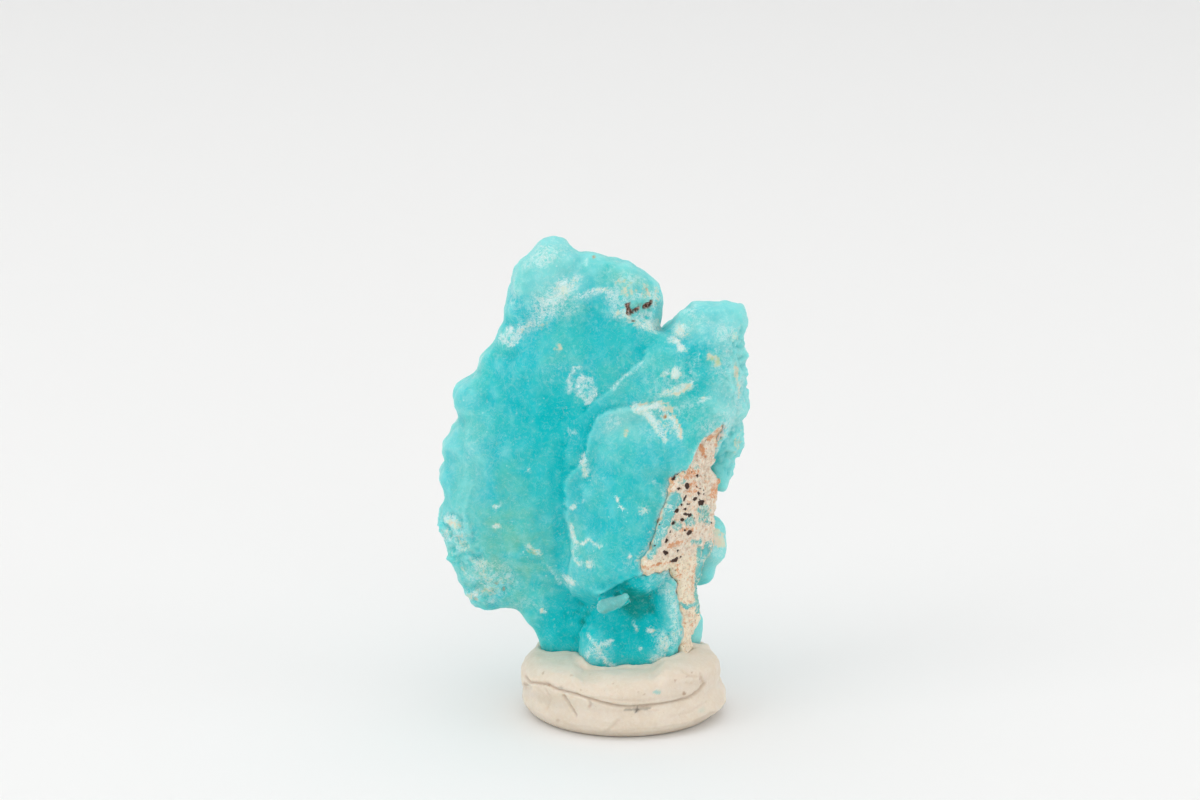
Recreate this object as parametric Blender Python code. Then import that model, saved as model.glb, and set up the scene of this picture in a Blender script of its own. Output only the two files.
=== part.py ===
"""A raw hemimorphite specimen: a blue botryoidal crust grown on a streak of pale matrix rock,
standing in a coil of mineral putty.

X runs to the right, Y to the back and Z up. The origin is the middle of the putty's flat
underside. Lump sizes and places are in millimetres and are scaled by MM when they are built.
"""

import math

import bmesh
import bpy
from mathutils import Euler, Matrix, Vector

MM = 0.001

# How finely each solid is voxelled, and what share of its triangles is kept
CRUST_VOXEL = 0.45 * MM
ROCK_VOXEL = 0.45 * MM
PUTTY_VOXEL = 0.45 * MM
CRUST_KEPT = 0.061
ROCK_KEPT = 0.13
PUTTY_KEPT = 0.073

# Pieces that touch keep this much air between them
GAP = 0.3 * MM

# The putty: a snake rolled by hand and wound in two turns, the lower one squashed by the upper
SNAKE_HALF_WIDTH = 4.1
SNAKE_SQUARENESS = 3.2
RING_FRONT_TO_BACK = 0.94
LOWER_TURN = {"radius": 9.3, "middle": 1.7, "half high": 2.9, "shift": 0.3}
UPPER_TURN = {"radius": 9.0, "middle": 6.0, "half high": 2.95, "shift": -0.5}
SNAKE_START = 70.0
SNAKE_TURNS = 1.95
CLIMB_FROM = 0.86
CLIMB_TO = 1.08
# The putty that fills the ring: centre and half sizes
FILLING = (
    ((0.0, 0.0, 2.4), (8.0, 7.6, 3.2)),
    ((-1.0, 1.5, 5.2), (8.2, 7.2, 2.6)),
)
TABLE_WIDE = 80.0
TABLE_DEEP = 12.0

# Texture sizes and strengths of the crust's small beads and slow swell, the rock's lumps and
# chips, and the dents of the fingers in the putty
BEADS = (3.2 * MM, -0.3 * MM)
SWELL = (5.0 * MM, 0.9 * MM)
ROCK_LUMPS = (2.6 * MM, 0.9 * MM)
ROCK_CHIPS = (1.5 * MM, 0.5 * MM)
DENTS = (4.5 * MM, 0.7 * MM)

# Each lump: centre (x, y, z), half sizes (x, y, z) and lean in degrees about Y, clockwise from
# the front. The lumps of one mass are first voxelled together and worn smooth, so that only
# the creases between two masses stay sharp.
WING = {
    "plate": ((-12.6, 5.2, 31.5), (10.2, 6.0, 18.0), 14),
    "middle": ((-8.5, 4.2, 30.0), (10.2, 6.6, 15.5), 8),
    "upper": ((-7.4, 4.6, 45.0), (7.8, 6.2, 11.0), 20),
    "throat": ((-1.6, 4.2, 46.6), (8.0, 5.8, 8.8), 14),
    "neck": ((-6.6, 4.8, 54.6), (7.6, 5.2, 5.4), 0),
    "hollow": ((-3.0, 3.6, 40.0), (7.0, 6.0, 7.5), 0),
    "low": ((-11.6, 4.6, 20.5), (7.2, 5.2, 8.0), -24),
}
RIM = {
    "rim 2": ((-12.3, 5.2, 53.4), (3.5, 4.2, 4.0), 0),
    "rim 3": ((-12.3, 5.5, 49.4), (4.4, 4.4, 3.9), 0),
    "rim 4": ((-14.9, 6.0, 45.3), (4.1, 4.4, 3.9), 0),
    "rim 5": ((-18.6, 6.0, 41.0), (3.9, 4.4, 3.9), 0),
    "rim 6": ((-20.4, 6.0, 34.9), (3.7, 4.4, 3.3), 0),
    "rim 7": ((-21.1, 6.0, 29.6), (3.6, 4.4, 3.5), 0),
    "rim 8": ((-21.3, 6.0, 24.9), (3.6, 4.4, 3.4), 0),
    "rim 9": ((-20.1, 6.0, 20.9), (3.3, 4.0, 2.8), 0),
    "rim 10": ((-19.0, 5.5, 17.4), (3.0, 3.6, 3.0), 0),
    "rim 11": ((-18.3, 5.0, 15.0), (2.8, 3.0, 2.6), 0),
    "rim 12": ((-14.9, 4.5, 16.3), (3.4, 3.6, 3.5), 0),
    "rim 13": ((-11.4, 4.0, 15.0), (3.3, 3.8, 3.5), 0),
}
LEFT_FOOT = {
    "left foot": ((-7.2, 3.0, 10.6), (4.2, 4.2, 8.0), -6),
    "left ankle": ((-9.7, 3.4, 15.2), (4.8, 4.4, 4.6), -30),
}
CAP = {
    "crown": ((-9.9, 4.8, 56.2), (5.0, 4.8, 7.0), 12),
    "right": ((-1.2, 4.2, 54.8), (5.7, 4.8, 5.5), 0),
    "middle": ((-5.0, 4.4, 55.6), (5.0, 4.8, 5.6), 0),
}
CAP_BEADS = {
    "bead 1": ((-9.4, 4.8, 60.6), (2.7, 2.9, 2.2), 0),
    "bead 2": ((-4.4, 3.4, 59.0), (2.8, 3.0, 2.0), 0),
    "bead 3": ((-0.6, 3.4, 58.4), (2.8, 2.8, 1.9), 0),
    "bead 4": ((1.9, 3.6, 55.6), (2.3, 2.8, 2.6), 0),
    "lip": ((3.0, 2.6, 51.4), (1.9, 2.0, 1.4), 0),
}
HORN = {
    "horn": ((10.2, 3.4, 44.0), (5.5, 5.6, 11.0), 8),
    "root": ((5.4, 3.0, 42.0), (8.0, 6.4, 9.6), -14),
    "top left": ((10.1, 3.4, 51.2), (3.4, 3.8, 3.6), 0),
    "top right": ((12.8, 3.6, 51.6), (3.3, 3.8, 3.4), 0),
}
HORN_BEADS = {
    "corner": ((14.2, 3.8, 52.0), (1.8, 2.4, 2.0), 0),
    "nape": ((7.6, 2.2, 50.0), (2.3, 2.4, 2.2), 0),
    "spur": ((14.8, 4.0, 47.2), (1.8, 1.6, 1.0), -35),
    "side 1": ((13.3, 4.5, 45.7), (2.5, 3.6, 3.2), 0),
    "side 2": ((13.5, 5.0, 40.9), (2.9, 4.2, 3.6), 0),
    "side 3": ((13.3, 5.4, 36.3), (2.7, 4.0, 3.6), 0),
    "tail": ((12.4, 5.6, 32.2), (2.2, 3.4, 3.6), 14),
}
LOBE = {
    "upper": ((1.8, 1.4, 32.8), (6.6, 7.6, 8.2), 10),
    "shoulder": ((5.8, 0.8, 35.4), (5.4, 6.6, 7.4), 22),
    "cheek": ((8.6, 2.6, 39.6), (5.6, 6.4, 7.4), 24),
    "belly": ((1.8, 0.4, 27.0), (6.4, 8.2, 8.8), 8),
    "low": ((0.4, -1.2, 22.0), (5.6, 6.4, 5.0), 18),
}
SKIRT = {
    "skirt upper": ((-1.2, 1.0, 29.4), (6.2, 6.2, 5.2), 0),
    "skirt": ((-0.9, 0.6, 23.6), (6.3, 6.6, 6.6), 0),
    "skirt low": ((-2.8, 0.0, 19.8), (4.8, 5.4, 4.6), 16),
}
RIDGE = {
    "ridge": ((5.0, -0.9, 41.0), (4.4, 2.6, 1.9), -34),
    "ridge end": ((7.8, -0.6, 43.0), (2.2, 2.0, 1.5), -30),
}
TAB = {
    "tab": ((-1.1, -7.2, 16.7), (2.5, 1.2, 0.95), -24),
    "tab root": ((-2.2, -5.0, 17.6), (2.0, 2.6, 1.2), -20),
}
FOOT = {
    "column": ((1.0, 1.4, 13.0), (6.4, 5.0, 11.2), 0),
    "toe left": ((-2.8, -2.5, 8.6), (2.9, 2.9, 4.4), 0),
    "toe right": ((3.4, -2.5, 8.6), (3.7, 2.9, 5.0), 0),
}
WALL = {
    "wall": ((5.9, -1.8, 13.5), (1.9, 2.9, 7.5), 0),
}
BODY = {
    "core": ((-2.0, 5.5, 32.0), (12.5, 6.4, 22.0), 4),
    "lower core": ((0.0, 5.0, 15.0), (8.0, 5.2, 13.0), 0),
}
RIGHT_BACK = {
    "right lobe": ((11.2, 6.0, 21.8), (3.1, 3.6, 3.8), -8),
    "right lip": ((10.5, 5.4, 17.9), (2.0, 2.6, 2.3), 0),
    "right foot": ((8.3, 4.4, 10.0), (2.3, 3.0, 4.4), 0),
}
BACK = {
    "back 1": ((-12.4, 9.0, 43.0), (4.0, 3.0, 3.6), 0),
    "back 2": ((-6.8, 9.6, 48.4), (4.6, 3.2, 4.2), 0),
    "back 3": ((-16.0, 9.0, 35.6), (4.4, 3.2, 4.4), 0),
    "back 4": ((-9.4, 10.2, 39.0), (5.0, 3.2, 4.4), 0),
    "back 5": ((-1.4, 10.4, 43.2), (5.6, 3.2, 5.6), 0),
    "back 6": ((6.6, 8.6, 47.0), (3.8, 3.0, 4.0), 0),
    "back 7": ((-14.8, 9.2, 27.6), (4.8, 3.2, 4.2), 0),
    "back 8": ((-5.0, 10.8, 33.0), (6.2, 3.2, 5.2), 0),
    "back 9": ((3.6, 10.2, 35.6), (4.6, 3.2, 4.8), 0),
    "back 10": ((10.0, 8.6, 38.4), (3.8, 3.0, 4.6), 0),
    "back 11": ((-11.8, 9.2, 20.6), (3.8, 3.0, 3.6), 0),
    "back 12": ((-6.0, 9.8, 25.4), (4.6, 3.2, 4.2), 0),
    "back 13": ((1.8, 10.0, 27.6), (5.2, 3.2, 4.4), 0),
    "back 14": ((8.0, 9.2, 29.6), (3.8, 3.0, 4.0), 0),
    "back 15": ((-4.8, 8.8, 18.4), (4.2, 3.0, 3.8), 0),
    "back 16": ((3.6, 9.0, 19.6), (4.4, 3.0, 4.2), 0),
    "back 17": ((-2.6, 8.4, 54.0), (3.6, 2.6, 3.4), 0),
    "back 18": ((1.0, 7.4, 12.6), (4.6, 3.0, 4.4), 0),
}
# Each mass with how many rounds of smoothing it gets before it is joined to the others and how
# square its lumps are: 2 is an ellipsoid, more is flatter faced
MASSES = (
    (WING, 30, 2.5),
    (RIM, 6, 2.0),
    (LEFT_FOOT, 16, 2.2),
    (CAP, 12, 2.0),
    (CAP_BEADS, 6, 2.0),
    (HORN, 16, 2.2),
    (HORN_BEADS, 3, 2.0),
    (LOBE, 26, 2.4),
    (SKIRT, 22, 2.4),
    (RIDGE, 4, 2.0),
    (TAB, 3, 2.0),
    (FOOT, 12, 2.2),
    (WALL, 6, 2.0),
    (BODY, 16, 2.4),
    (RIGHT_BACK, 3, 2.0),
    (BACK, 8, 2.2),
)

# How far in front of the rock's broken face the crust is missing
BROKEN_AWAY = 5.0
# The streak of matrix, from its upper tip down: height, front edge, back edge, and how deep it
# runs in. Its broken face lies between the two edges and looks to the right and the front.
STREAK = (
    (39.9, (12.0, -2.0), (13.3, -1.4), 2.6),
    (36.8, (9.7, -3.6), (12.9, -0.6), 4.0),
    (34.5, (7.7, -5.2), (12.2, 0.4), 5.0),
    (32.8, (6.8, -6.2), (11.4, 0.8), 6.0),
    (30.8, (6.1, -6.7), (12.4, 1.4), 6.0),
    (28.5, (5.8, -7.2), (11.9, 1.8), 6.0),
    (25.0, (4.6, -7.6), (11.8, 2.4), 6.0),
    (22.4, (3.0, -7.8), (11.8, 2.6), 5.0),
    (21.2, (2.7, -7.7), (11.2, 2.4), 5.0),
    (20.6, (6.8, -3.6), (10.6, 1.8), 4.6),
    (17.5, (7.2, -3.2), (10.0, 1.4), 4.0),
    (13.5, (7.8, -2.6), (9.9, 0.8), 3.4),
    (9.5, (7.7, -2.4), (9.3, 0.4), 3.0),
    (6.5, (7.3, -2.2), (8.4, 0.0), 2.6),
)


def clear_scene():
    for obj in list(bpy.data.objects):
        bpy.data.objects.remove(obj)


def mineral(name, colour, roughness):
    """A plain Principled material."""
    material = bpy.data.materials.new(name)
    material.use_nodes = True
    shader = material.node_tree.nodes["Principled BSDF"]
    shader.inputs["Base Color"].default_value = (*colour, 1.0)
    shader.inputs["Roughness"].default_value = roughness
    shader.inputs["Metallic"].default_value = 0.0
    return material


def object_from(bm, name, material=None):
    """Ends the bmesh and links its mesh as a named object."""
    mesh = bpy.data.meshes.new(name)
    bm.to_mesh(mesh)
    bm.free()
    obj = bpy.data.objects.new(name, mesh)
    bpy.context.scene.collection.objects.link(obj)
    if material:
        mesh.materials.append(material)
    return obj


def as_cutter(obj):
    obj.hide_render = True
    obj.display_type = "WIRE"
    return obj


def power_length(values, power):
    return sum(abs(value) ** power for value in values) ** (1 / power)


def add_lump(bm, centre, half_sizes, lean, squareness=2.0):
    """One ellipsoid, leaning by so many degrees about Y and squared off a little if wanted."""
    place = (
        Matrix.Translation(Vector(centre) * MM)
        @ Euler((0, math.radians(lean), 0)).to_matrix().to_4x4()
        @ Matrix.Diagonal((*(Vector(half_sizes) * MM), 1))
    )
    made = bmesh.ops.create_icosphere(bm, subdivisions=4, radius=1)
    for vertex in made["verts"]:
        vertex.co = place @ (vertex.co / power_length(vertex.co, squareness))


def voxelled(obj, voxel):
    remesh = obj.modifiers.new("grown together", "REMESH")
    remesh.mode = "VOXEL"
    remesh.voxel_size = voxel


def displaced(obj, name, kind, size, strength, **settings):
    """Moves the surface by one of Blender's textures. Sizes are in metres."""
    texture = bpy.data.textures.new(f"{obj.name} {name}", kind)
    texture.noise_scale = size
    for key, value in settings.items():
        setattr(texture, key, value)
    push = obj.modifiers.new(name, "DISPLACE")
    push.texture = texture
    push.texture_coords = "GLOBAL"
    push.strength = strength
    push.mid_level = 0.5


def smoothed(obj, factor, times):
    smooth = obj.modifiers.new("worn", "SMOOTH")
    smooth.factor = factor
    smooth.iterations = times


def thinned(obj, kept):
    decimate = obj.modifiers.new("faceted", "DECIMATE")
    decimate.ratio = kept
    decimate.use_collapse_triangulate = True


def grown(obj, by):
    push = obj.modifiers.new("clearance", "DISPLACE")
    push.strength = by
    push.mid_level = 0.0


def boolean(obj, other, operation="DIFFERENCE"):
    cut = obj.modifiers.new(f"{operation.lower()} {other.name}", "BOOLEAN")
    cut.operation = operation
    cut.object = other
    cut.solver = "EXACT"


def blade(name, material=None, proud=0.0):
    """The streak lofted from its rows. Proud moves the broken face outwards."""
    bm = bmesh.new()
    rings = []
    for height, front, back, deep in STREAK:
        front, back = Vector(front), Vector(back)
        run = (back - front).normalized()
        inward = Vector((-run.y, run.x))
        corners = (
            front - inward * proud,
            (front + back) / 2 - inward * proud,
            back - inward * proud,
            back + inward * deep * 0.8 - run * 0.4,
            (front + back) / 2 + inward * deep,
            front + inward * deep * 0.7 + run * 0.8,
        )
        rings.append([bm.verts.new(Vector((c.x, c.y, height)) * MM) for c in corners])
    for upper, lower in zip(rings, rings[1:]):
        for i in range(len(upper)):
            j = (i + 1) % len(upper)
            bm.faces.new((upper[i], upper[j], lower[j], lower[i]))
    bm.faces.new(reversed(rings[0]))
    bm.faces.new(rings[-1])
    bmesh.ops.recalc_face_normals(bm, faces=bm.faces)
    return object_from(bm, name, material)


def matrix_streak(name, material=None):
    """The rock: a blade roughened all over."""
    rock = blade(name, material)
    voxelled(rock, ROCK_VOXEL)
    displaced(rock, "lumps", "CLOUDS", *ROCK_LUMPS)
    displaced(rock, "chips", "VORONOI", *ROCK_CHIPS)
    smoothed(rock, 0.5, 2)
    thinned(rock, ROCK_KEPT)
    return rock


def worn_mass(lumps, rounds, squareness):
    """The mesh of one mass: its lumps voxelled together and smoothed."""
    bm = bmesh.new()
    for centre, half_sizes, lean in lumps.values():
        add_lump(bm, centre, half_sizes, lean, squareness)
    mass = object_from(bm, "mass")
    voxelled(mass, CRUST_VOXEL)
    smoothed(mass, 0.5, rounds)
    graph = bpy.context.evaluated_depsgraph_get()
    mesh = bpy.data.meshes.new_from_object(mass.evaluated_get(graph))
    bpy.data.objects.remove(mass)
    return mesh


def crust_of_masses(name, material=None):
    """The blue crust: its masses grown together, beaded, swollen and thinned."""
    bm = bmesh.new()
    for lumps, rounds, squareness in MASSES:
        mesh = worn_mass(lumps, rounds, squareness)
        bm.from_mesh(mesh)
        bpy.data.meshes.remove(mesh)
    crust = object_from(bm, name, material)
    voxelled(crust, CRUST_VOXEL)
    smoothed(crust, 0.5, 3)
    displaced(crust, "beads", "VORONOI", *BEADS, distance_metric="DISTANCE_SQUARED")
    displaced(crust, "swell", "CLOUDS", *SWELL)
    smoothed(crust, 0.5, 2)
    thinned(crust, CRUST_KEPT)
    return crust


def climb(turned):
    """0 on the lower turn, 1 on the upper, eased over the stretch where the snake climbs."""
    share = min(1.0, max(0.0, (turned - CLIMB_FROM) / (CLIMB_TO - CLIMB_FROM)))
    return share * share * (3 - 2 * share)


def wound_snake(bm):
    """The putty snake: an oval section carried round two turns, with rounded ends."""
    steps, sides = 96, 20
    rings = []
    for step in range(steps + 1):
        turned = SNAKE_TURNS * step / steps
        angle = math.radians(SNAKE_START + 360 * turned)
        up = climb(turned)
        radius, middle, high, shift = (
            LOWER_TURN[key] + (UPPER_TURN[key] - LOWER_TURN[key]) * up
            for key in ("radius", "middle", "half high", "shift")
        )
        to_end = min(step, steps - step) / steps * SNAKE_TURNS * 2 * math.pi * radius
        taper = math.sin(math.pi / 2 * min(1.0, max(0.12, to_end / SNAKE_HALF_WIDTH))) ** 0.5
        outward = Vector((math.cos(angle), math.sin(angle), 0))
        centre = outward * radius + Vector((shift, 0, middle))
        ring = []
        for side in range(sides):
            round_it = 2 * math.pi * side / sides
            across, up_down = math.cos(round_it), math.sin(round_it)
            squared = power_length((across, up_down), SNAKE_SQUARENESS)
            point = centre + outward * (across / squared * SNAKE_HALF_WIDTH * taper)
            point.y *= RING_FRONT_TO_BACK
            point.z += up_down / squared * high * taper
            ring.append(bm.verts.new(point * MM))
        rings.append(ring)
    for ring, following in zip(rings, rings[1:]):
        for i in range(sides):
            j = (i + 1) % sides
            bm.faces.new((ring[i], ring[j], following[j], following[i]))
    bm.faces.new(reversed(rings[0]))
    bm.faces.new(rings[-1])
    bmesh.ops.recalc_face_normals(bm, faces=bm.faces)


def floor_block():
    """What lies under the putty, so that its underside comes out flat."""
    middle = Matrix.Translation((0, 0, -TABLE_DEEP / 2 * MM))
    size = Matrix.Diagonal((TABLE_WIDE * MM, TABLE_WIDE * MM, TABLE_DEEP * MM, 1))
    bm = bmesh.new()
    bmesh.ops.create_cube(bm, size=1, matrix=middle @ size)
    return as_cutter(object_from(bm, "table"))


def putty(name, pressed_by, material):
    """The wound snake with its middle squeezed full, cut flat below and pressed in by the stone."""
    bm = bmesh.new()
    wound_snake(bm)
    for centre, half_sizes in FILLING:
        add_lump(bm, centre, half_sizes, 0)
    coil = object_from(bm, name, material)
    voxelled(coil, PUTTY_VOXEL)
    smoothed(coil, 0.5, 4)
    displaced(coil, "dents", "CLOUDS", *DENTS)
    thinned(coil, PUTTY_KEPT)
    boolean(coil, floor_block())
    for space in pressed_by:
        boolean(coil, space)
    return coil


def stone_space():
    """The stone's own shape, a little grown, which it presses into the putty."""
    space = as_cutter(crust_of_masses("space for the stone"))
    grown(space, GAP)
    return space


def main():
    clear_scene()
    crust_blue = mineral("hemimorphite blue", (0.07, 0.55, 0.57), 0.35)
    rock_cream = mineral("matrix cream", (0.66, 0.55, 0.43), 0.8)
    putty_beige = mineral("putty beige", (0.74, 0.65, 0.54), 0.6)

    matrix_streak("matrix_rock", rock_cream)
    rock_space = as_cutter(matrix_streak("space for the rock"))
    grown(rock_space, GAP)

    crust = crust_of_masses("hemimorphite", crust_blue)
    boolean(crust, rock_space)
    boolean(crust, as_cutter(blade("broken away", proud=BROKEN_AWAY)))
    putty("putty_coil", (stone_space(), rock_space), putty_beige)


main()
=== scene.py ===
import math

import bmesh
import bpy
import numpy as np
from mathutils import Matrix, Vector, noise
from mathutils.bvhtree import BVHTree


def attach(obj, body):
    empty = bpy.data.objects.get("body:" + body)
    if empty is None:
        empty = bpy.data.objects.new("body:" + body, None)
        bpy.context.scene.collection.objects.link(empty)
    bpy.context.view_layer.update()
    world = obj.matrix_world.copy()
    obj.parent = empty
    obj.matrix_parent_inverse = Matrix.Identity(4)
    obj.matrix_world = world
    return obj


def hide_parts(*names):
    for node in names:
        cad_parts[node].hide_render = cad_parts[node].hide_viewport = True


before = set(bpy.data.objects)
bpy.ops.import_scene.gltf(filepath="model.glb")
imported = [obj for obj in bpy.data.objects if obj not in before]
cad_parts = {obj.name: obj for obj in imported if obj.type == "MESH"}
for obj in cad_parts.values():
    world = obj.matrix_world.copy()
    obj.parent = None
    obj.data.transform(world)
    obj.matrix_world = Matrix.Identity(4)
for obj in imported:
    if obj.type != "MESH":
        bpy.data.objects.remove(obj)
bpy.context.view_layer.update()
MM = 0.001

# The stage. A white sweep under and behind the specimen, lit by a large soft light from above and
# dimmer ones from each side and behind the camera, almost as bright as the specimen's own white
# patches. The camera looks down a little from the front, through a long lens.
CAMERA_DOWN = math.radians(14)
CAMERA_FAR = 433 * MM
CAMERA_LENS, CAMERA_SENSOR, CAMERA_NEAREST = 100, 36, 0.02
CAMERA_AIM = Vector((-3.1, 0, 42.4)) * MM
SWEEP_DEEP, SWEEP_TALL, SWEEP_BEND = 2.6, 1.6, 0.8
PAPER_WHITE = (0.87, 0.87, 0.865, 1)
ROOM_WHITE = (1.0, 1.0, 1.0, 1)
ROOM_STRENGTH = 0.72
# Each soft light's place and size in metres, and its watts
LIGHTS = {
    "light above": ((-0.3, 0.1, 1.5), 2.6, 10.0),
    "light left": ((-0.75, -0.45, 0.55), 0.6, 1.7),
    "light right": ((0.85, -0.25, 0.40), 0.6, 1.2),
    "light behind the camera": ((0.2, -1.2, 0.6), 1.2, 1.8),
}


def linked(name, data):
    obj = bpy.data.objects.new(name, data)
    bpy.context.scene.collection.objects.link(obj)
    return obj


back = Vector((0, -math.cos(CAMERA_DOWN), math.sin(CAMERA_DOWN)))
camera = linked("camera", bpy.data.cameras.new("camera"))
camera.data.lens = CAMERA_LENS
camera.data.sensor_width = CAMERA_SENSOR
camera.data.clip_start = CAMERA_NEAREST
camera.location = CAMERA_AIM + back * CAMERA_FAR
camera.rotation_euler = back.to_track_quat("Z", "Y").to_euler()
bpy.context.scene.camera = camera


def sweep(deep, tall, bend, steps=12, sides=96):
    """The paper: flat from the front to the back, then bending up into a wall all round."""
    profile = [(deep - bend, 0.0)]
    for step in range(1, steps + 1):
        turn = math.pi / 2 * step / steps
        profile.append((deep - bend + bend * math.sin(turn), bend - bend * math.cos(turn)))
    profile.append((deep, tall))
    bm = bmesh.new()
    middle = bm.verts.new((0, 0, 0))
    rings = []
    for out, up in profile:
        turns = [2 * math.pi * side / sides for side in range(sides)]
        rings.append([bm.verts.new((out * math.cos(turn), out * math.sin(turn), up)) for turn in turns])
    for i in range(sides):
        j = (i + 1) % sides
        bm.faces.new((middle, rings[0][i], rings[0][j]))
        for inner, outer in zip(rings, rings[1:]):
            bm.faces.new((inner[i], outer[i], outer[j], inner[j]))
    mesh = bpy.data.meshes.new("white sweep")
    bm.to_mesh(mesh)
    bm.free()
    mesh.polygons.foreach_set("use_smooth", [True] * len(mesh.polygons))
    return mesh


paper = bpy.data.materials.new("white paper")
paper.use_nodes = True
paper_shader = paper.node_tree.nodes["Principled BSDF"]
paper_shader.inputs["Base Color"].default_value = PAPER_WHITE
paper_shader.inputs["Roughness"].default_value = 0.9
paper_shader.inputs["Specular IOR Level"].default_value = 0.1
floor = linked("white_sweep", sweep(SWEEP_DEEP, SWEEP_TALL, SWEEP_BEND))
floor.data.materials.append(paper)

for name, (place, size, watts) in LIGHTS.items():
    light = linked(name, bpy.data.lights.new(name, "AREA"))
    light.data.shape = "SQUARE"
    light.data.size = size
    light.data.energy = watts
    light.location = place
    light.rotation_euler = (Vector(place) - CAMERA_AIM).to_track_quat("Z", "Y").to_euler()
room = bpy.data.worlds.new("white room")
room.use_nodes = True
room.node_tree.nodes["Background"].inputs["Color"].default_value = ROOM_WHITE
room.node_tree.nodes["Background"].inputs["Strength"].default_value = ROOM_STRENGTH
bpy.context.scene.world = room
bpy.context.scene.view_settings.view_transform = "Standard"

# The blue crust. Hemimorphite grown in rounded, waxy, faintly translucent masses, with frosty
# white patches of tiny blades, tan stains and a few dark cavities. It is one grown piece: a fine
# mesh worn down from the solid's facets, then swollen, creased and pitted.
CRUST_FINE = 0.29 * MM
CRUST_WORN = 26
FAR_AWAY = 9.0


def pulled(points, edges, factors):
    """Moves each point towards the middle of its neighbours, once for each factor."""
    first, second = edges[:, 0], edges[:, 1]
    count = np.bincount(edges.ravel(), minlength=len(points))
    points = points.copy()
    for factor in factors:
        for axis in range(3):
            along = points[:, axis]
            total = np.bincount(first, along[second], len(points))
            total += np.bincount(second, along[first], len(points))
            points[:, axis] = along + factor * (total / count - along)
    return points


def worn(points, edges, rounds):
    """Smooths a mesh's points and keeps its size: each round pulls in, then pushes back out."""
    return pulled(points, edges, (0.5, -0.515) * rounds)


def melted(points, edges, rounds):
    """Plain smoothing, to find the slow form under the small one."""
    return pulled(points, edges, (0.5,) * rounds)


class Surface:
    """A fine mesh copied from one of the solids, with its points and normals in millimetres."""

    def __init__(self, node, voxel, rounds, added=None):
        bm = bmesh.new()
        bm.from_mesh(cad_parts[node].data)
        bmesh.ops.remove_doubles(bm, verts=bm.verts, dist=0.002 * MM)
        if added:
            added(bm)
        coarse = linked("coarse", bpy.data.meshes.new("coarse"))
        bm.to_mesh(coarse.data)
        bm.free()
        remesh = coarse.modifiers.new("voxels", "REMESH")
        remesh.mode = "VOXEL"
        remesh.voxel_size = voxel
        graph = bpy.context.evaluated_depsgraph_get()
        self.mesh = bpy.data.meshes.new_from_object(coarse.evaluated_get(graph))
        bpy.data.objects.remove(coarse)
        edges = np.empty(len(self.mesh.edges) * 2, np.int32)
        self.mesh.edges.foreach_get("vertices", edges)
        self.edges = edges.reshape(-1, 2)
        points = np.empty(len(self.mesh.vertices) * 3)
        self.mesh.vertices.foreach_get("co", points)
        self.points = worn(points.reshape(-1, 3) / MM, self.edges, rounds)
        self.settle()

    def settle(self):
        """Writes the points to the mesh and reads its normals again."""
        self.mesh.vertices.foreach_set("co", (self.points * MM).ravel())
        self.mesh.update()
        normals = np.empty(len(self.points) * 3)
        self.mesh.vertex_normals.foreach_get("vector", normals)
        self.normals = normals.reshape(-1, 3)

    def raise_by(self, amount):
        self.points += self.normals * amount[:, None]
        self.settle()

    def hollow(self, rounds):
        """How deep each point lies under the slow form, in millimetres."""
        slow = melted(self.points, self.edges, rounds)
        return ((slow - self.points) * self.normals).sum(1)

    def paint(self, **amounts):
        for name, amount in amounts.items():
            attribute = self.mesh.attributes.new(name, "FLOAT", "POINT")
            attribute.data.foreach_set("value", np.clip(amount, 0, 1).astype(np.float32))

    def gaps(self, tree, reach, scale=1.0):
        """How far each point is from another surface, which is looked for within reach."""
        found = (tree.find_nearest(Vector(point) * scale, reach * scale)[3] for point in self.points)
        return np.array([FAR_AWAY if gap is None else gap / scale for gap in found])

    def piece(self, name, material):
        self.mesh.name = name
        self.mesh.materials.clear()
        self.mesh.materials.append(material)
        self.mesh.polygons.foreach_set("use_smooth", [True] * len(self.mesh.polygons))
        return linked(name, self.mesh)


def waves(points, size, shift=0.0, octaves=2):
    """Slow random swell over the points, from about -1 to 1."""
    return np.array([
        noise.fractal(Vector(point) / size + Vector((shift, shift, shift)), 0.9, 2.0, octaves)
        for point in points
    ])


def beads(points, size, shift=0.0):
    """Rounded beads packed side by side: 1 on each one's middle, 0 in the creases between."""
    found = np.empty(len(points))
    for i, point in enumerate(points):
        apart = noise.voronoi(Vector(point) / size + Vector((shift, shift, shift)))[0]
        found[i] = apart[1] - apart[0]
    return np.clip(found, 0, 1)


def eased(value, low, high):
    share = np.clip((value - low) / (high - low), 0, 1)
    return share * share * (3 - 2 * share)


# Places on the front are given across and up as the camera sees them: what lies further back
# looks higher, by a quarter of its depth.
RISE_WITH_DEPTH = math.tan(CAMERA_DOWN)
MIST = 0.9


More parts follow.
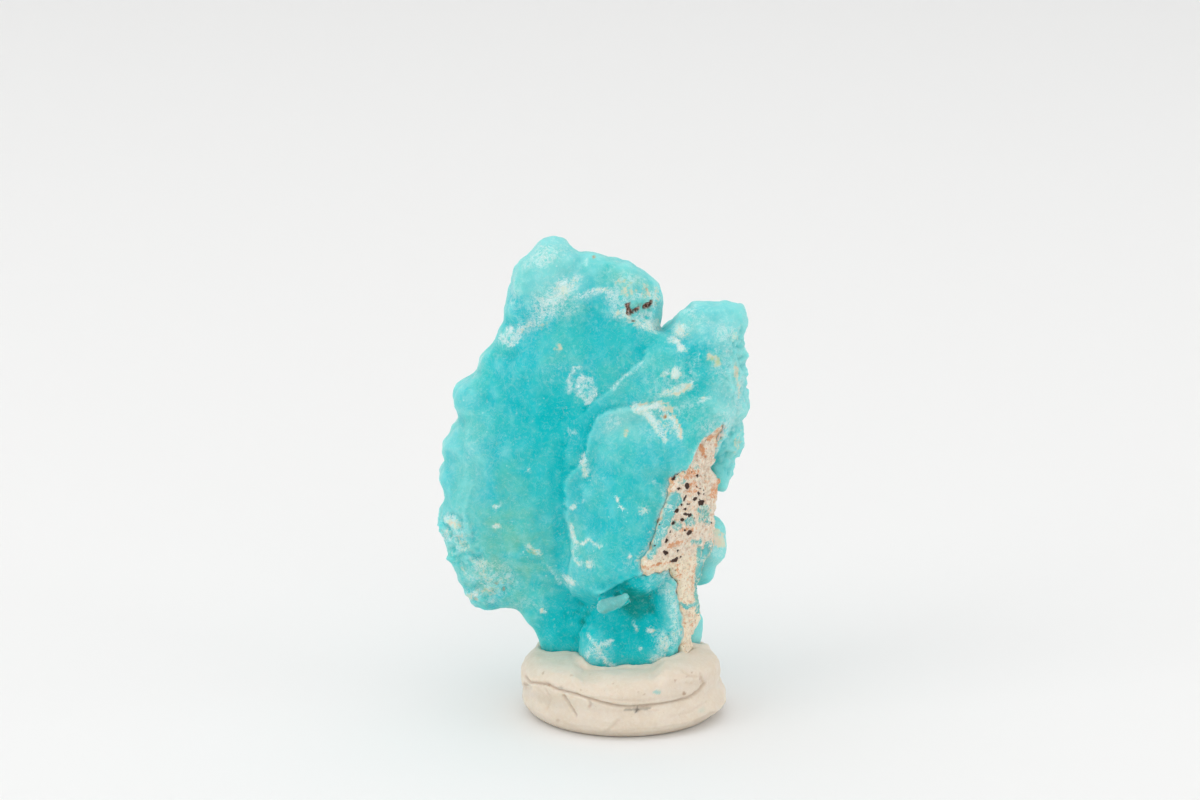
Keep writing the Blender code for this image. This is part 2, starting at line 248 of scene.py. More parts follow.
class Places:
    """Marks laid on one surface by where they show from the front."""

    def __init__(self, surface, facing=-0.1):
        self.across = surface.points[:, 0]
        self.up = surface.points[:, 2] + surface.points[:, 1] * RISE_WITH_DEPTH
        self.front = eased(-surface.normals[:, 1], facing, facing + 0.3)
        self.ragged = waves(surface.points, 0.9, 3.1, 3)
        self.crumbs = waves(surface.points, 0.42, 8.6, 2)
        self.warp = [0.55 * waves(surface.points, 2.2, shift) + 0.22 * waves(surface.points, 0.6, shift)
                     for shift in (21.3, 33.8)]

    def oval(self, across, up, half_wide, half_high, turn, pull=0.0):
        """Where each point lies in an oval, along and over it, counted in its half sizes."""
        turned = math.radians(turn)
        right = self.across + pull * self.warp[0] - across
        higher = self.up + pull * self.warp[1] - up
        along = (right * math.cos(turned) + higher * math.sin(turned)) / half_wide
        over = (higher * math.cos(turned) - right * math.sin(turned)) / half_high
        return along, over

    def faded(self, out, ragged, soft):
        """1 where out is under 1, fading to 0 over a ragged edge."""
        out = out + ragged * self.ragged + 0.4 * ragged * self.crumbs
        return eased(-out, -1 - soft / 2, -1 + soft / 2) * self.front

    def patch(self, across, up, half_wide, half_high, turn=0.0, ragged=0.5, soft=0.6):
        """1 inside an oval with a ragged edge, fading to 0 outside."""
        return self.faded(np.hypot(*self.oval(across, up, half_wide, half_high, turn)), ragged, soft)

    def patches(self, ovals, ragged=0.5, soft=0.6):
        """Each row's oval times its last number, its strength."""
        return [self.patch(*oval[:5], ragged, soft) * oval[5] for oval in ovals]

    def marked(self, rows):
        """Ovals and lines in one list: each row says what its patch or stroke takes, then its strength."""
        return most(*((self.stroke if isinstance(row[0], list) else self.patch)(*row[:-1]) * row[-1]
                      for row in rows))

    def gap_to(self, line, pull):
        """How far each point is from a line of places, with the line pulled about."""
        nearest = np.full(len(self.across), 1e9)
        across, higher = self.across + pull * self.warp[0], self.up + pull * self.warp[1]
        for (x0, y0), (x1, y1) in zip(line, line[1:]):
            run = (x1 - x0) ** 2 + (y1 - y0) ** 2
            share = np.clip(((across - x0) * (x1 - x0) + (higher - y0) * (y1 - y0)) / run, 0, 1)
            gap = np.hypot(across - x0 - share * (x1 - x0), higher - y0 - share * (y1 - y0))
            nearest = np.minimum(nearest, gap)
        return nearest

    def stroke(self, line, half_wide, ragged=0.5, soft=0.6, pull=0.0):
        """1 along a line of places, fading to 0 outside."""
        return self.faded(self.gap_to(line, pull) / half_wide, ragged, soft)

    def cloud(self, *oval):
        """An oval that thins out like mist and has no edge, its outline pulled about."""
        along, over = self.oval(*oval, pull=1.0)
        return np.exp(-MIST * (along ** 2 + over ** 2)) * self.front

    def trail(self, line, half_wide):
        """A line of mist."""
        return np.exp(-MIST * (self.gap_to(line, 0.8) / half_wide) ** 2) * self.front

    def fold(self, line, rise, reach, drop, beyond, sharp=0.3):
        """A step along a line: proud on the right of one who walks it, sunk on the left."""
        spans = [math.dist(a, b) for a, b in zip(line, line[1:])]
        nearest = np.full(len(self.across), 1e9)
        signed = np.zeros(len(self.across))
        walked = np.zeros(len(self.across))
        for i, ((x0, y0), (x1, y1)) in enumerate(zip(line, line[1:])):
            right, higher = self.across - x0, self.up - y0
            share = np.clip((right * (x1 - x0) + higher * (y1 - y0)) / spans[i] ** 2, 0, 1)
            gap = np.hypot(right - share * (x1 - x0), higher - share * (y1 - y0))
            side = np.sign(right * (y1 - y0) - higher * (x1 - x0))
            closer = gap < nearest
            nearest = np.where(closer, gap, nearest)
            signed = np.where(closer, gap * side, signed)
            walked = np.where(closer, (sum(spans[:i]) + share * spans[i]) / sum(spans), walked)
        signed = signed + 0.25 * self.ragged
        ends = eased(walked, 0, 0.15) * eased(1 - walked, 0, 0.15)
        inside = eased(signed, -sharp, sharp)
        raised = rise * inside * np.exp(-np.maximum(signed, 0) / reach)
        sunk = drop * (1 - inside) * np.exp(-np.maximum(-signed, 0) / beyond)
        return (raised - sunk) * ends * self.front

    def ring(self, *oval, thick):
        """1 along an oval's outline."""
        out = np.abs(np.hypot(*self.oval(*oval, pull=0.7)) - 1) / thick + 0.9 * self.ragged
        return eased(-out, -1.6, -0.3) * self.front


def most(*marks):
    return np.maximum.reduce(marks)


def pushed(surface, pushes):
    """Pulls the outline about: each push is across, up, reach, then how far right, back and up."""
    points = surface.points.copy()
    up = points[:, 2] + points[:, 1] * RISE_WITH_DEPTH
    for x, height, reach, right, behind, higher in pushes:
        near = np.exp(-((points[:, 0] - x) ** 2 + (up - height) ** 2) / reach ** 2)
        surface.points += near[:, None] * np.array([right, behind, higher])
    surface.settle()


# The finger of crust that juts from under the ledge
STUB_FROM = (-2.75, -7.9, 16.65)
STUB_TO = (0.15, -8.5, 18.25)
STUB_THICK = 0.82
STUB_STEPS = 9
STUB_THINNING = 0.30
STUB_SET_BACK = (0, 1.0, -0.25)
STUB_REACH = (1.1, 2.4)
STUB_ROOT = (
    ((-1.3, -7.4, 17.2), 0.75), ((-1.3, -6.8, 17.15), 0.82), ((-1.3, -6.2, 17.1), 0.92),
    ((-1.3, -5.6, 17.1), 1), ((-1.3, -5, 17.05), 1.1), ((-1.3, -4.4, 17), 1.2),
)


def stub(bm):
    start, end = Vector(STUB_FROM), Vector(STUB_TO)
    for step in range(STUB_STEPS):
        share = step / (STUB_STEPS - 1)
        place = Matrix.Translation(start.lerp(end, share) * MM)
        radius = (STUB_THICK - STUB_THINNING * share) * MM
        bmesh.ops.create_icosphere(bm, subdivisions=3, radius=radius, matrix=place)
    for middle, half in STUB_ROOT:
        place = Matrix.Translation(Vector(middle) * MM)
        bmesh.ops.create_icosphere(bm, subdivisions=3, radius=half * MM, matrix=place)


crust = Surface("hemimorphite", CRUST_FINE, CRUST_WORN, stub)

# Creases between the masses of the front, then the steps where one mass laps over the next
CREASES = (
    ([(-8.4, 36), (-8.9, 31), (-8.4, 26), (-8.4, 20.5)], 0.9, 0.22),
    ([(9.2, 49.6), (8, 47), (8.6, 45.4)], 0.4, 0.15), ([(-14, 56), (-11.6, 51), (-12.8, 45)], 0.7, 0.15),
    ([(-18.6, 44), (-15.8, 39), (-17, 33)], 0.8, 0.15),
    ([(-5.8, 60.4), (-4.2, 57.6), (-4.6, 54.6)], 0.7, 0.15),
)
FOLDS = (
    ([(-5.4, 33.2), (-4.9, 35.5), (-4.6, 37.2), (-4.1, 39.2), (-2.9, 40.5), (-1.5, 41.2), (0.6, 41.5),
      (2.6, 41.5), (4.6, 41.8)], 0.4, 3.2, 0.12, 2),
    ([(-7.6, 14), (-6.9, 16.4), (-7.3, 18.6), (-6.7, 21.4), (-7, 23.7), (-7.6, 26.2), (-7.5, 28.6),
      (-8, 30.8), (-6.7, 33), (-5, 34.3), (-3.4, 35.6)], 0.34, 2.2, 0.1, 1.8),
    ([(-6.2, 39.6), (-5, 41), (-1.5, 44.2), (0.6, 46.2), (2.5, 48), (3.4, 50.4)], 0.2, 2, 0.1, 1.5),
    ([(5.2, 20.6), (2.6, 19.4), (0, 18.3), (-2.5, 16.6), (-4.4, 16)], 0.35, 1.2, 0.5, 1.2),
    ([(-5.6, 6), (-5.9, 8.6), (-5.6, 10.8), (-4.8, 12.6)], 0.3, 1.5, 0.18, 0.9),
    ([(-19.8, 22), (-20.6, 27), (-19.6, 31.6)], -0.12, 1.8, -0.08, 1.6),
)

# Where the outline bulges or is nipped in, seen from the front
pushed(crust, (
    (4.6, 56.4, 1.7, 0.7, 0, 0), (4.9, 53.1, 1, -0.6, 0, -0.1), (4, 58.4, 1.4, 0.55, 0, 0.25),
    (5.6, 53.6, 0.9, -0.45, 0, 0), (-12.6, 62.9, 2, 0.65, 0, -0.1), (-6.2, 63.4, 1.6, -0.35, 0, -0.35),
    (6.6, 53, 0.9, 0, 0, 0.55), (5, 53.4, 1.3, 0, 0, -0.95), (16.3, 50.4, 1.4, -0.5, 0, 0),
    (15.6, 54.8, 1.2, 0.2, 0, 0.45), (8, 55.2, 1, 0.4, 0, 0), (-21.1, 46, 1.3, 0.55, 0, -0.25),
    (-23.4, 38, 1, 0.35, 0, 0), (16.2, 48.2, 0.6, 0.4, 0, 0), (16.4, 41.4, 1.6, 0.35, 0, 0),
    (13.3, 31.2, 1.3, 0.2, 0, -1), (13.9, 22.6, 1.6, -0.45, 0, 0), (10, 15.2, 1.6, -0.45, 0, 0),
    (-3, 60.4, 1.4, 0, 0, 0.3), (0.6, 58.8, 1, 0, 0, 0.25), (-24.4, 30.6, 1.2, 0.35, 0, 0),
    (-24.8, 27, 1.4, 0.35, 0, 0), (-21, 17.6, 1.2, -0.7, 0, 0),
))
# The rock's upper end leans left, and the crust around it with it
ROCK_LEAN = ((10.8, 36.8, 2.2, -1.25, 0, 0.0), (9.0, 35.0, 1.4, -0.45, 0, 0.2))
pushed(crust, ROCK_LEAN)
# Solid edges that the real masses don't show, melted away before the steps are laid on
MELT_ROUNDS = 90
marks = Places(crust)
MELTED_EDGES = (
    ([(-5.6, 33.6), (-4.8, 37), (-4, 39.2), (-1.6, 41), (2, 41.2)], 2.2, 0.1, 0.8, 1),
    (-6.6, 14.8, 4.2, 3.2, 0, 0.1, 0.8, 1), (-6.4, 10.6, 1.8, 3.4, 0, 0.1, 0.8, 1),
    ([(-7.2, 17), (-7, 24), (-7.6, 30)], 2, 0.1, 0.8, 0.8), (-1, 38.2, 5, 3, 0, 0.1, 0.8, 1),
    (0.6, 9.4, 3.6, 4.4, 0, 0.1, 0.8, 1), (3.8, 12, 3.2, 4.8, 0, 0.1, 0.8, 1),
    ([(-6.2, 39.6), (-1.5, 44.2), (2.5, 48)], 1.8, 0.1, 0.8, 0.7),
)
melting = marks.marked(MELTED_EDGES)
melting = melting * (1 - eased(-np.hypot(marks.across + 1.4, marks.up - 15.2), -3.2, -2.2))
crust.points += (melted(crust.points, crust.edges, MELT_ROUNDS) - crust.points) * melting[:, None]
crust.settle()
marks = Places(crust)
crease = sum(marks.stroke(line, wide, 0.25, 1.4) * deep for line, wide, deep in CREASES)
folded = sum(marks.fold(*given) for given in FOLDS)
backward = eased(crust.normals[:, 1], -0.35, 0.35)
edgeward = 1 - np.abs(crust.normals[:, 1])
swell = (0.30 * waves(crust.points, 4.2, 1.7) + 0.08 * waves(crust.points, 2.2, 5.2)
         + 0.03 * waves(crust.points, 0.9, 6.1))
pushed(crust, (
    (4.9, 52.4, 1, 0, 0, -0.7), (-22.7, 22.3, 0.55, 0.75, 0, 0), (-22.6, 20.7, 0.6, -0.8, 0, 0),
    (-23.6, 24.6, 0.5, -0.35, 0, 0.2), (-21.4, 15.6, 0.5, -0.35, 0, 0),
))
bead_height = 0.10 + 0.20 * eased(edgeward, 0.4, 0.9) + 0.16 * backward
small_beads = (beads(crust.points, 2.6) - 0.35) * bead_height
start = np.array(STUB_FROM)
run = np.array(STUB_TO) - start
share = np.clip((crust.points - start) @ run / (run @ run), 0, 1)
off_axis = np.linalg.norm(crust.points - start - share[:, None] * run, axis=1)
off_stub = eased(off_axis, STUB_THICK, STUB_THICK + 0.5)
crust.points += (1 - eased(off_axis, *STUB_REACH))[:, None] * np.array(STUB_SET_BACK)
crust.settle()
crust.raise_by((swell + small_beads + folded - crease) * off_stub
               + (1 - off_stub) * 0.22 * waves(crust.points, 0.8, 2.9, 2))

# Where the crust is eaten away and crumbly: across, up, half sizes, turn, strength
CRUMBLY = (
    (-22.8, 25, 2.4, 2.2, 0, 0.42), (-20.8, 21.2, 2, 2, 0, 0.32), (-18.6, 15.8, 3.2, 2.4, 20, 0.22),
    (14.8, 46.6, 1.6, 5.4, 0, 0.4), (14.8, 36.2, 1.8, 4, -20, 0.4), (5.4, 9, 1.4, 2.4, 0, 0.25),
    (2.4, 54.4, 2.2, 1.2, 10, 0.3),
)
marks = Places(crust, -0.8)
chewed = most(*marks.patches(CRUMBLY, 0.3, 1.0))
crust.raise_by(chewed * (1.2 * waves(crust.points, 1.5, 2.2, 4) + 0.5 * waves(crust.points, 0.6, 4.0, 2)
                         - 0.35 * beads(crust.points * np.array([1.0, 0.7, 1.0]), 1.3, 4.0)))

rock_tree = BVHTree.FromObject(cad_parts["matrix_rock"], bpy.context.evaluated_depsgraph_get())
beside_rock = np.where(crust.points[:, 0] > -2.0, crust.gaps(rock_tree, 2.0, MM), FAR_AWAY)
broken = eased(-beside_rock, -1.3, -0.2)
crust.raise_by(broken * (0.38 * waves(crust.points, 0.9, 7.3, 3) + 0.10))

# The frosty patches, from the crown down: ovals, strokes and rings with how white each one is
FROST_OVALS = (
    (-9.6, 55.4, 3.4, 2, 45, 0.6), (-10.6, 61, 2.6, 1.2, 20, 0.5), (0.6, 58.4, 3, 1.2, -10, 0.35),
    (-13, 52, 2.6, 1.2, 25, 0.45), (4.4, 56, 1, 2, 0, 0.35), (0, 55.6, 1.4, 1.6, 0, 0.4),
    (8.6, 54.2, 1.6, 1.2, 0, 0.35), (13, 51.4, 1.6, 1.6, 0, 0.45), (15, 43, 1, 4, 0, 0.35),
    (8, 41.4, 3.4, 1.6, 20, 0.3), (11, 38.6, 2, 1.6, 0, 0.35), (-1.4, 39.4, 2.4, 1.4, 20, 0.3),
    (-9.8, 62, 2.6, 1.4, 0, 0.45), (9.6, 52.6, 3, 2.4, 0, 0.28), (12.8, 47, 2.2, 4.6, 0, 0.3),
    (5.6, 44.6, 3.6, 2.6, 40, 0.26), (2, 46.6, 2.6, 1.2, 45, 0.22), (13.2, 40, 2, 3.2, 0, 0.3),
    (5.4, 26, 1.4, 3.6, -20, 0.3), (-14.2, 56.6, 1.2, 3.4, 0, 0.3), (-9.4, 46.8, 3, 1.6, 30, 0.16),
    (-20, 36, 2, 4, 0, 0.2), (3.4, 38, 2, 1.8, 0, 0.22), (1.4, 20.6, 2.6, 1, 15, 0.26),
    (-22, 24, 2.2, 2.6, 0, 0.35), (-17.4, 18.4, 4, 3, -20, 0.38), (-13.4, 14.8, 2.6, 1.2, 0, 0.25),
    (-8.6, 46, 2.4, 1.2, 40, 0.18), (8.4, 46.6, 2.6, 2.4, 0, 0.2), (-3.6, 32, 1.4, 3, 0, 0.16),
    (-14.6, 50.8, 1.1, 0.9, 20, 0.8), (-11.3, 52.6, 1.9, 0.7, 25, 0.5), (-8.6, 56, 2.3, 1.6, 50, 0.75),
    (-7.6, 57.6, 1.4, 1.3, 0, 0.9), (-6.6, 54.6, 1.8, 0.8, 20, 0.35), (-1.6, 54.6, 1.2, 1.9, -15, 0.35),
    (4, 52.4, 1.1, 0.8, -35, 0.7), (2.4, 52, 1, 0.7, 0, 0.45), (7.3, 51.7, 1.1, 0.9, -30, 0.7),
    (6.6, 50.2, 0.7, 0.5, 0, 0.8), (7.5, 49.3, 0.6, 0.4, 0, 0.9), (6.6, 45.9, 0.75, 0.6, 15, 0.95),
    (5.2, 45.9, 0.35, 0.3, 0, 0.6), (10.3, 42.7, 0.8, 0.22, 8, 0.7), (-6.6, 38.3, 0.35, 0.7, 0, 0.45),
    (-5.2, 34.2, 0.5, 0.9, 0, 0.75), (-5, 32.9, 0.55, 0.8, 0, 0.65), (-6.6, 28.1, 0.5, 0.35, 20, 0.85),
    (-5.6, 28.6, 0.6, 0.3, 0, 0.3), (-4.4, 20.4, 0.7, 0.8, 0, 0.5), (-7.1, 18.2, 0.9, 0.65, -30, 0.75),
    (2.6, 27.7, 0.7, 0.6, 0, 0.55), (0.8, 21.6, 0.25, 0.3, 0, 0.8), (-16.6, 28.1, 0.4, 0.35, 0, 0.8),
    (-16.6, 25.3, 0.45, 0.4, 0, 0.7), (-22.4, 25.8, 1.5, 0.8, -30, 0.65), (-23.4, 23.8, 0.9, 0.9, 0, 0.5),
    (-18.9, 20, 1.5, 1.4, 0, 0.5), (-19.8, 15.9, 1.2, 1, 0, 0.6), (-17.4, 15, 1, 0.7, 0, 0.35),
    (-21.4, 22.2, 0.8, 1, 0, 0.4), (-10.8, 13.9, 0.3, 0.5, -30, 0.7), (-3.2, 8.4, 1.7, 1.7, 0, 0.3),
    (5.2, 9.6, 1.1, 1.7, 10, 0.6), (4.6, 7.4, 1.3, 0.8, 0, 0.7), (3.6, 11.3, 0.42, 0.42, 0, 0.85),
    (2.3, 8.9, 0.3, 0.25, 0, 0.8), (-3.6, 8.6, 1.3, 1.1, 20, 0.5), (5, 18.6, 2.2, 0.7, 14, 0.4),
    (3.4, 17.4, 0.7, 0.8, 0, 0.3), (12.4, 22.4, 1.4, 2.2, 0, 0.35), (-4.5, 60.8, 0.4, 0.3, 0, 0.4),
    (-12.3, 33, 0.3, 0.3, 0, 0.4), (-0.2, 53.7, 1.3, 0.9, 10, 0.75), (3.9, 55.8, 0.9, 1.5, 0, 0.6),
    (-1.2, 56.2, 1.3, 1.3, 20, 0.6), (1.8, 56, 1.6, 0.7, 10, 0.45), (2.6, 53.6, 1.4, 0.6, 0, 0.6),
)
FROST_STROKES = (
    ([(-15.6, 50.6), (-12.4, 52.4), (-9.6, 54), (-7.6, 56.6), (-6, 58.6)], 0.8, 0.55),
    ([(-6.4, 56), (-4.4, 56.4), (-3, 57), (-1, 56.6)], 0.4, 0.6),
    ([(-1.6, 57.2), (-0.2, 58.4), (1.6, 58.6)], 0.6, 0.3),
    ([(1.8, 41.5), (4.4, 41.6), (5.6, 40.6), (6.7, 38.4), (7, 37.6)], 0.6, 0.65),
    ([(3, 41), (4.2, 39.4), (5.4, 37.3)], 0.5, 0.6),
    ([(4.8, 42.9), (6.6, 43.6), (8.6, 44.6)], 0.55, 0.55),
    ([(-6.7, 25.5), (-6.5, 24.3), (-6.05, 23), (-6.4, 21.4), (-5.7, 20.3)], 0.45, 0.45),
    ([(-5.7, 22.8), (-4.4, 23.5), (-3.1, 22.8)], 0.35, 0.5), ([(-1.4, 29.2), (0, 27.9)], 0.14, 0.95),
    ([(-4.6, 10.4), (-3.4, 9), (-2.2, 7.4), (-1.4, 6.6)], 0.35, 0.7),
    ([(-4.9, 8), (-3.4, 9), (-1.6, 9.8)], 0.3, 0.6),
    ([(5.4, 17.4), (6.2, 15.4), (6.6, 12.6), (6.6, 9.6)], 0.8, 0.5),
    ([(1.4, 12.4), (1.9, 11.2)], 0.2, 0.5), ([(-10.2, 20.2), (-9, 18.8), (-8.2, 17.6)], 0.25, 0.4),
    ([(9.8, 48.4), (9.2, 46.8), (8.6, 45.8)], 0.2, 0.4),
    ([(-1.5, 43.9), (0.2, 45.4), (2.35, 47.6)], 0.25, 0.45),
    ([(-5.5, 46.9), (-6.5, 46.5), (-7, 45), (-6.7, 43.6)], 0.28, 0.6),
    ([(-6.2, 44.6), (-5.6, 43.4)], 0.25, 0.4), ([(3.6, 31.8), (4.6, 30.8), (5, 29.4)], 0.2, 0.4),
    ([(9.4, 51.4), (11.2, 50.4), (12, 48.8)], 0.2, 0.35),
    ([(-20.6, 19), (-19.2, 17.6), (-17.6, 16.4)], 0.4, 0.4),
)
FROST_RINGS = (
    (-4.8, 43.9, 0.95, 1.5, 10, 0.28, 0.7), (-14.6, 50.8, 1.1, 1, 0, 0.3, 0.7),
)
marks = Places(crust)
frost = most(
    *(marks.cloud(*oval[:5]) * oval[5] for oval in FROST_OVALS),
    *(marks.trail(line, wide) * white for line, wide, white in FROST_STROKES),
    *(marks.ring(*ring[:5], thick=ring[5]) * ring[6] for ring in FROST_RINGS),
    marks.cloud(-4.8, 43.9, 1.3, 1.7, 10) * 0.45,
)
SLOW_ROUNDS, QUICK_ROUNDS = 60, 8
deep_under = crust.hollow(SLOW_ROUNDS)
deep_small = crust.hollow(QUICK_ROUNDS)
valleys = np.clip(eased(deep_under, 0.0, 0.45) + 0.6 * eased(deep_small, 0.0, 0.06), 0, 1)
ridges = np.clip(eased(-deep_under, 0.0, 0.5) + 0.6 * eased(-deep_small, 0.0, 0.06), 0, 1)
strewn = waves(crust.points, 4.2, 9.3, 3)
behind = eased(crust.normals[:, 1], 0.0, 0.5)
grain = waves(crust.points, 0.8, 12.3, 3)
frost = most(frost, broken * marks.front * 0.35 * (1 + marks.ragged),
             behind * eased(strewn + 0.5 * valleys + 0.3 * grain, 0.05, 0.95) * 0.8,
             eased(edgeward, 0.6, 0.95) * eased(strewn + 0.3 * grain, 0.1, 0.9) * 0.5)

TAN_OVALS = (
    (-18.6, 18.6, 1.6, 0.9, -20, 0.3), (-21.2, 23.4, 0.8, 0.9, 0, 0.35), (-15.6, 17.8, 1, 0.6, 0, 0.3),
    (-0.4, 58.2, 0.9, 0.35, 10, 0.55), (0.4, 57.9, 0.5, 0.4, 0, 0.45), (2.7, 57.4, 0.5, 0.7, 20, 0.55),
    (4.2, 55.9, 0.5, 0.8, 0, 0.4), (-13.4, 51.6, 0.7, 0.3, 30, 0.35), (-10.6, 52.4, 0.8, 0.5, 0, 0.35),
    (11.4, 24.4, 1.9, 1.1, -25, 0.85), (9.6, 24.8, 1, 0.8, 0, 0.7), (-8.4, 49.5, 0.6, 0.55, 0, 0.6),
    (-11.9, 22, 0.95, 0.5, -25, 0.55), (-22.3, 25.6, 1.2, 0.5, -20, 0.6), (5.3, 41.2, 0.6, 0.35, 0, 0.7),
    (11.3, 48, 0.56, 0.5, -25, 0.9), (12, 47.35, 0.58, 0.5, -25, 0.9), (-20.6, 15.4, 0.9, 0.5, 20, 0.5),
    (14.9, 36.6, 0.5, 1.4, -15, 0.5), (14.5, 46.2, 0.35, 1.1, 5, 0.85), (14.9, 43.8, 0.25, 1.2, 0, 0.6),
    (10.9, 21.9, 0.5, 0.9, 0, 0.9), (10.1, 19.2, 0.35, 0.8, 0, 0.9), (0.2, 38, 0.26, 0.5, -10, 0.8),
    (-17.4, 16.4, 1.2, 0.8, 0, 0.4), (-10.7, 13.9, 0.3, 0.5, -30, 0.5), (4, 11.4, 0.35, 0.3, 0, 0.5),
    (8, 12.4, 0.5, 3, 0, 0.5), (12, 23.6, 1.8, 0.8, -28, 0.85), (2.9, 56.4, 0.8, 0.5, 0, 0.5),
    (0.4, 56.7, 1, 0.5, 10, 0.6), (-0.6, 54, 0.7, 0.5, 0, 0.5), (4.2, 56.6, 0.5, 0.9, 10, 0.5),
)
TAN_STROKES = (
    ([(6.4, 43), (7.6, 43.6), (8.4, 44.4)], 0.2, 0.8),
    ([(5.8, 41.2), (6.7, 39.8), (7.3, 38.4), (7.2, 37.4)], 0.16, 0.9),
    ([(4.6, 42.2), (6, 41.6), (6.2, 40.8)], 0.16, 0.8), ([(1.6, 41), (2.4, 41.9), (3.4, 42)], 0.14, 0.7),
    ([(10.2, 25), (11.6, 24.1), (13, 22.8)], 0.6, 1),
)
tan = most(
    eased(-beside_rock, -0.7, -0.1) * (0.45 + 0.8 * marks.ragged),
    *marks.patches(TAN_OVALS),
    *(marks.stroke(line, wide) * strong for line, wide, strong in TAN_STROKES),
    (0.4 + 0.6 * behind) * valleys * eased(waves(crust.points, 5.0, 14.4, 3), 0.3, 0.8) * 0.6,
)
# The crisp white crust on some patches, lacy at the edges: ovals and strokes
LACE_OVALS = (
    (6.6, 45.9, 0.75, 0.55, 10, 1), (5.1, 45.9, 0.35, 0.3, 0, 0.7), (7.3, 51.6, 1, 0.7, -30, 0.75),
    (6.6, 50.1, 0.6, 0.4, -20, 0.9), (7.6, 49.2, 0.65, 0.4, 10, 0.95), (2.9, 52.3, 1.7, 0.7, -12, 0.85),
    (4.4, 52.6, 0.5, 0.6, 0, 0.7), (0.2, 53.6, 0.9, 0.5, 20, 0.7), (-4.4, 20.3, 0.5, 0.55, 0, 0.8),
    (-7.1, 18.2, 0.85, 0.5, -30, 0.9), (-6.6, 28.1, 0.45, 0.3, 10, 0.9), (-5.2, 33.9, 0.4, 0.9, 0, 0.8),
    (-5, 32.4, 0.45, 0.5, 0, 0.7), (2.6, 27.7, 0.65, 0.5, 0, 0.7), (0.8, 21.6, 0.2, 0.28, -20, 1),
    (-16.6, 28.1, 0.38, 0.34, 0, 0.9), (-16.6, 25.3, 0.42, 0.38, 0, 0.8), (3.6, 11.3, 0.4, 0.38, 0, 0.95),
    (2.3, 8.9, 0.28, 0.24, 0, 0.9), (-10.8, 13.9, 0.28, 0.42, -30, 0.9),
    (-22.5, 25.8, 1.3, 0.5, -20, 0.85), (-12.5, 22.5, 0.55, 0.5, -25, 0.95),
    (-11.3, 21.8, 0.7, 0.5, -25, 0.9), (-23.3, 24.4, 0.6, 0.4, 0, 0.7), (-19.8, 16, 0.9, 0.5, 20, 0.75),
    (-21, 22.4, 0.5, 0.7, 0, 0.6), (-18.6, 20.2, 1.1, 0.6, 20, 0.6), (5.3, 9.6, 0.7, 1.4, 0, 0.65),
    (4.6, 7.4, 1, 0.5, 0, 0.7), (-8, 57, 1.1, 0.9, 30, 0.62), (-6.4, 58, 0.5, 0.7, 0, 0.55),
    (-12.4, 52.6, 0.9, 0.4, 20, 0.5), (10.3, 42.7, 0.7, 0.18, 8, 0.8), (-2.6, 57, 0.8, 0.35, 10, 0.55),
    (0.4, 57.2, 0.8, 0.7, 0, 0.5), (14.2, 50.6, 0.5, 0.8, 0, 0.6), (-12.3, 33, 0.2, 0.2, 0, 0.8),
    (3.6, 34.2, 0.2, 0.2, 0, 0.4), (-21.6, 28, 0.4, 0.3, 0, 0.4), (-14, 17.2, 0.5, 0.4, 0, 0.45),
    (-9.2, 12.6, 0.3, 0.25, 0, 0.4),
)
LACE_STROKES = (
    ([(1.7, 41.2), (3.2, 41.6), (4.6, 41.5), (5.4, 40.9)], 0.5, 0.95),
    ([(5.4, 40.9), (6.2, 39.6), (6.9, 38.4), (7, 37.7)], 0.3, 0.95),
    ([(3.1, 40.8), (3.8, 39.4), (4.6, 37.9), (5.1, 37)], 0.3, 0.95),
    ([(4.6, 40.6), (5.4, 39.4), (6, 38.2)], 0.2, 0.7), ([(3.8, 39.6), (5, 39.4), (6.4, 38.6)], 0.16, 0.6),
    ([(2.4, 41.6), (3, 40.6), (4, 40.2)], 0.14, 0.9), ([(5.2, 37), (5.6, 38.2), (5.2, 39)], 0.14, 0.8),
    ([(5, 42.9), (6.6, 43.5), (8.5, 44.5)], 0.45, 0.65),
    ([(-6.7, 25.5), (-6.5, 24.3), (-6.05, 23)], 0.24, 0.85),
    ([(-5.7, 22.8), (-4.4, 23.5), (-3.1, 22.8)], 0.2, 0.85),
    ([(-6.7, 22.3), (-6.4, 21), (-5.7, 20.3)], 0.22, 0.6), ([(-1.4, 29.2), (0, 27.9)], 0.15, 1),
    ([(-4.8, 10.6), (-3.8, 9.4), (-3, 8.6), (-2.4, 7.4)], 0.24, 0.55),
    ([(-4.9, 8), (-3.8, 8.6), (-2.8, 9.2), (-1.8, 9.4)], 0.2, 0.5),
    ([(-3.4, 9), (-3.9, 7.4)], 0.22, 0.45), ([(-20.2, 21.2), (-18.6, 19), (-17, 17.8)], 0.2, 0.6),
    ([(-22.6, 21.6), (-21.4, 19.4), (-20.4, 18.2)], 0.2, 0.5),
    ([(6.2, 17.2), (6.7, 14), (6.7, 10.6)], 0.4, 0.45), ([(1.4, 12.4), (1.9, 11.2)], 0.14, 0.6),
    ([(5.6, 30.6), (5.2, 28.6), (4.2, 26), (3, 23.4), (1.6, 21)], 0.22, 0.55),
    ([(10.2, 46.8), (9.6, 45.6)], 0.16, 0.5),
)
lace = most(
    *marks.patches(LACE_OVALS, 0.8, 1.4),
    *(marks.stroke(line, wide, 0.9, 1.5, 0.8) * white for line, wide, white in LACE_STROKES),
)
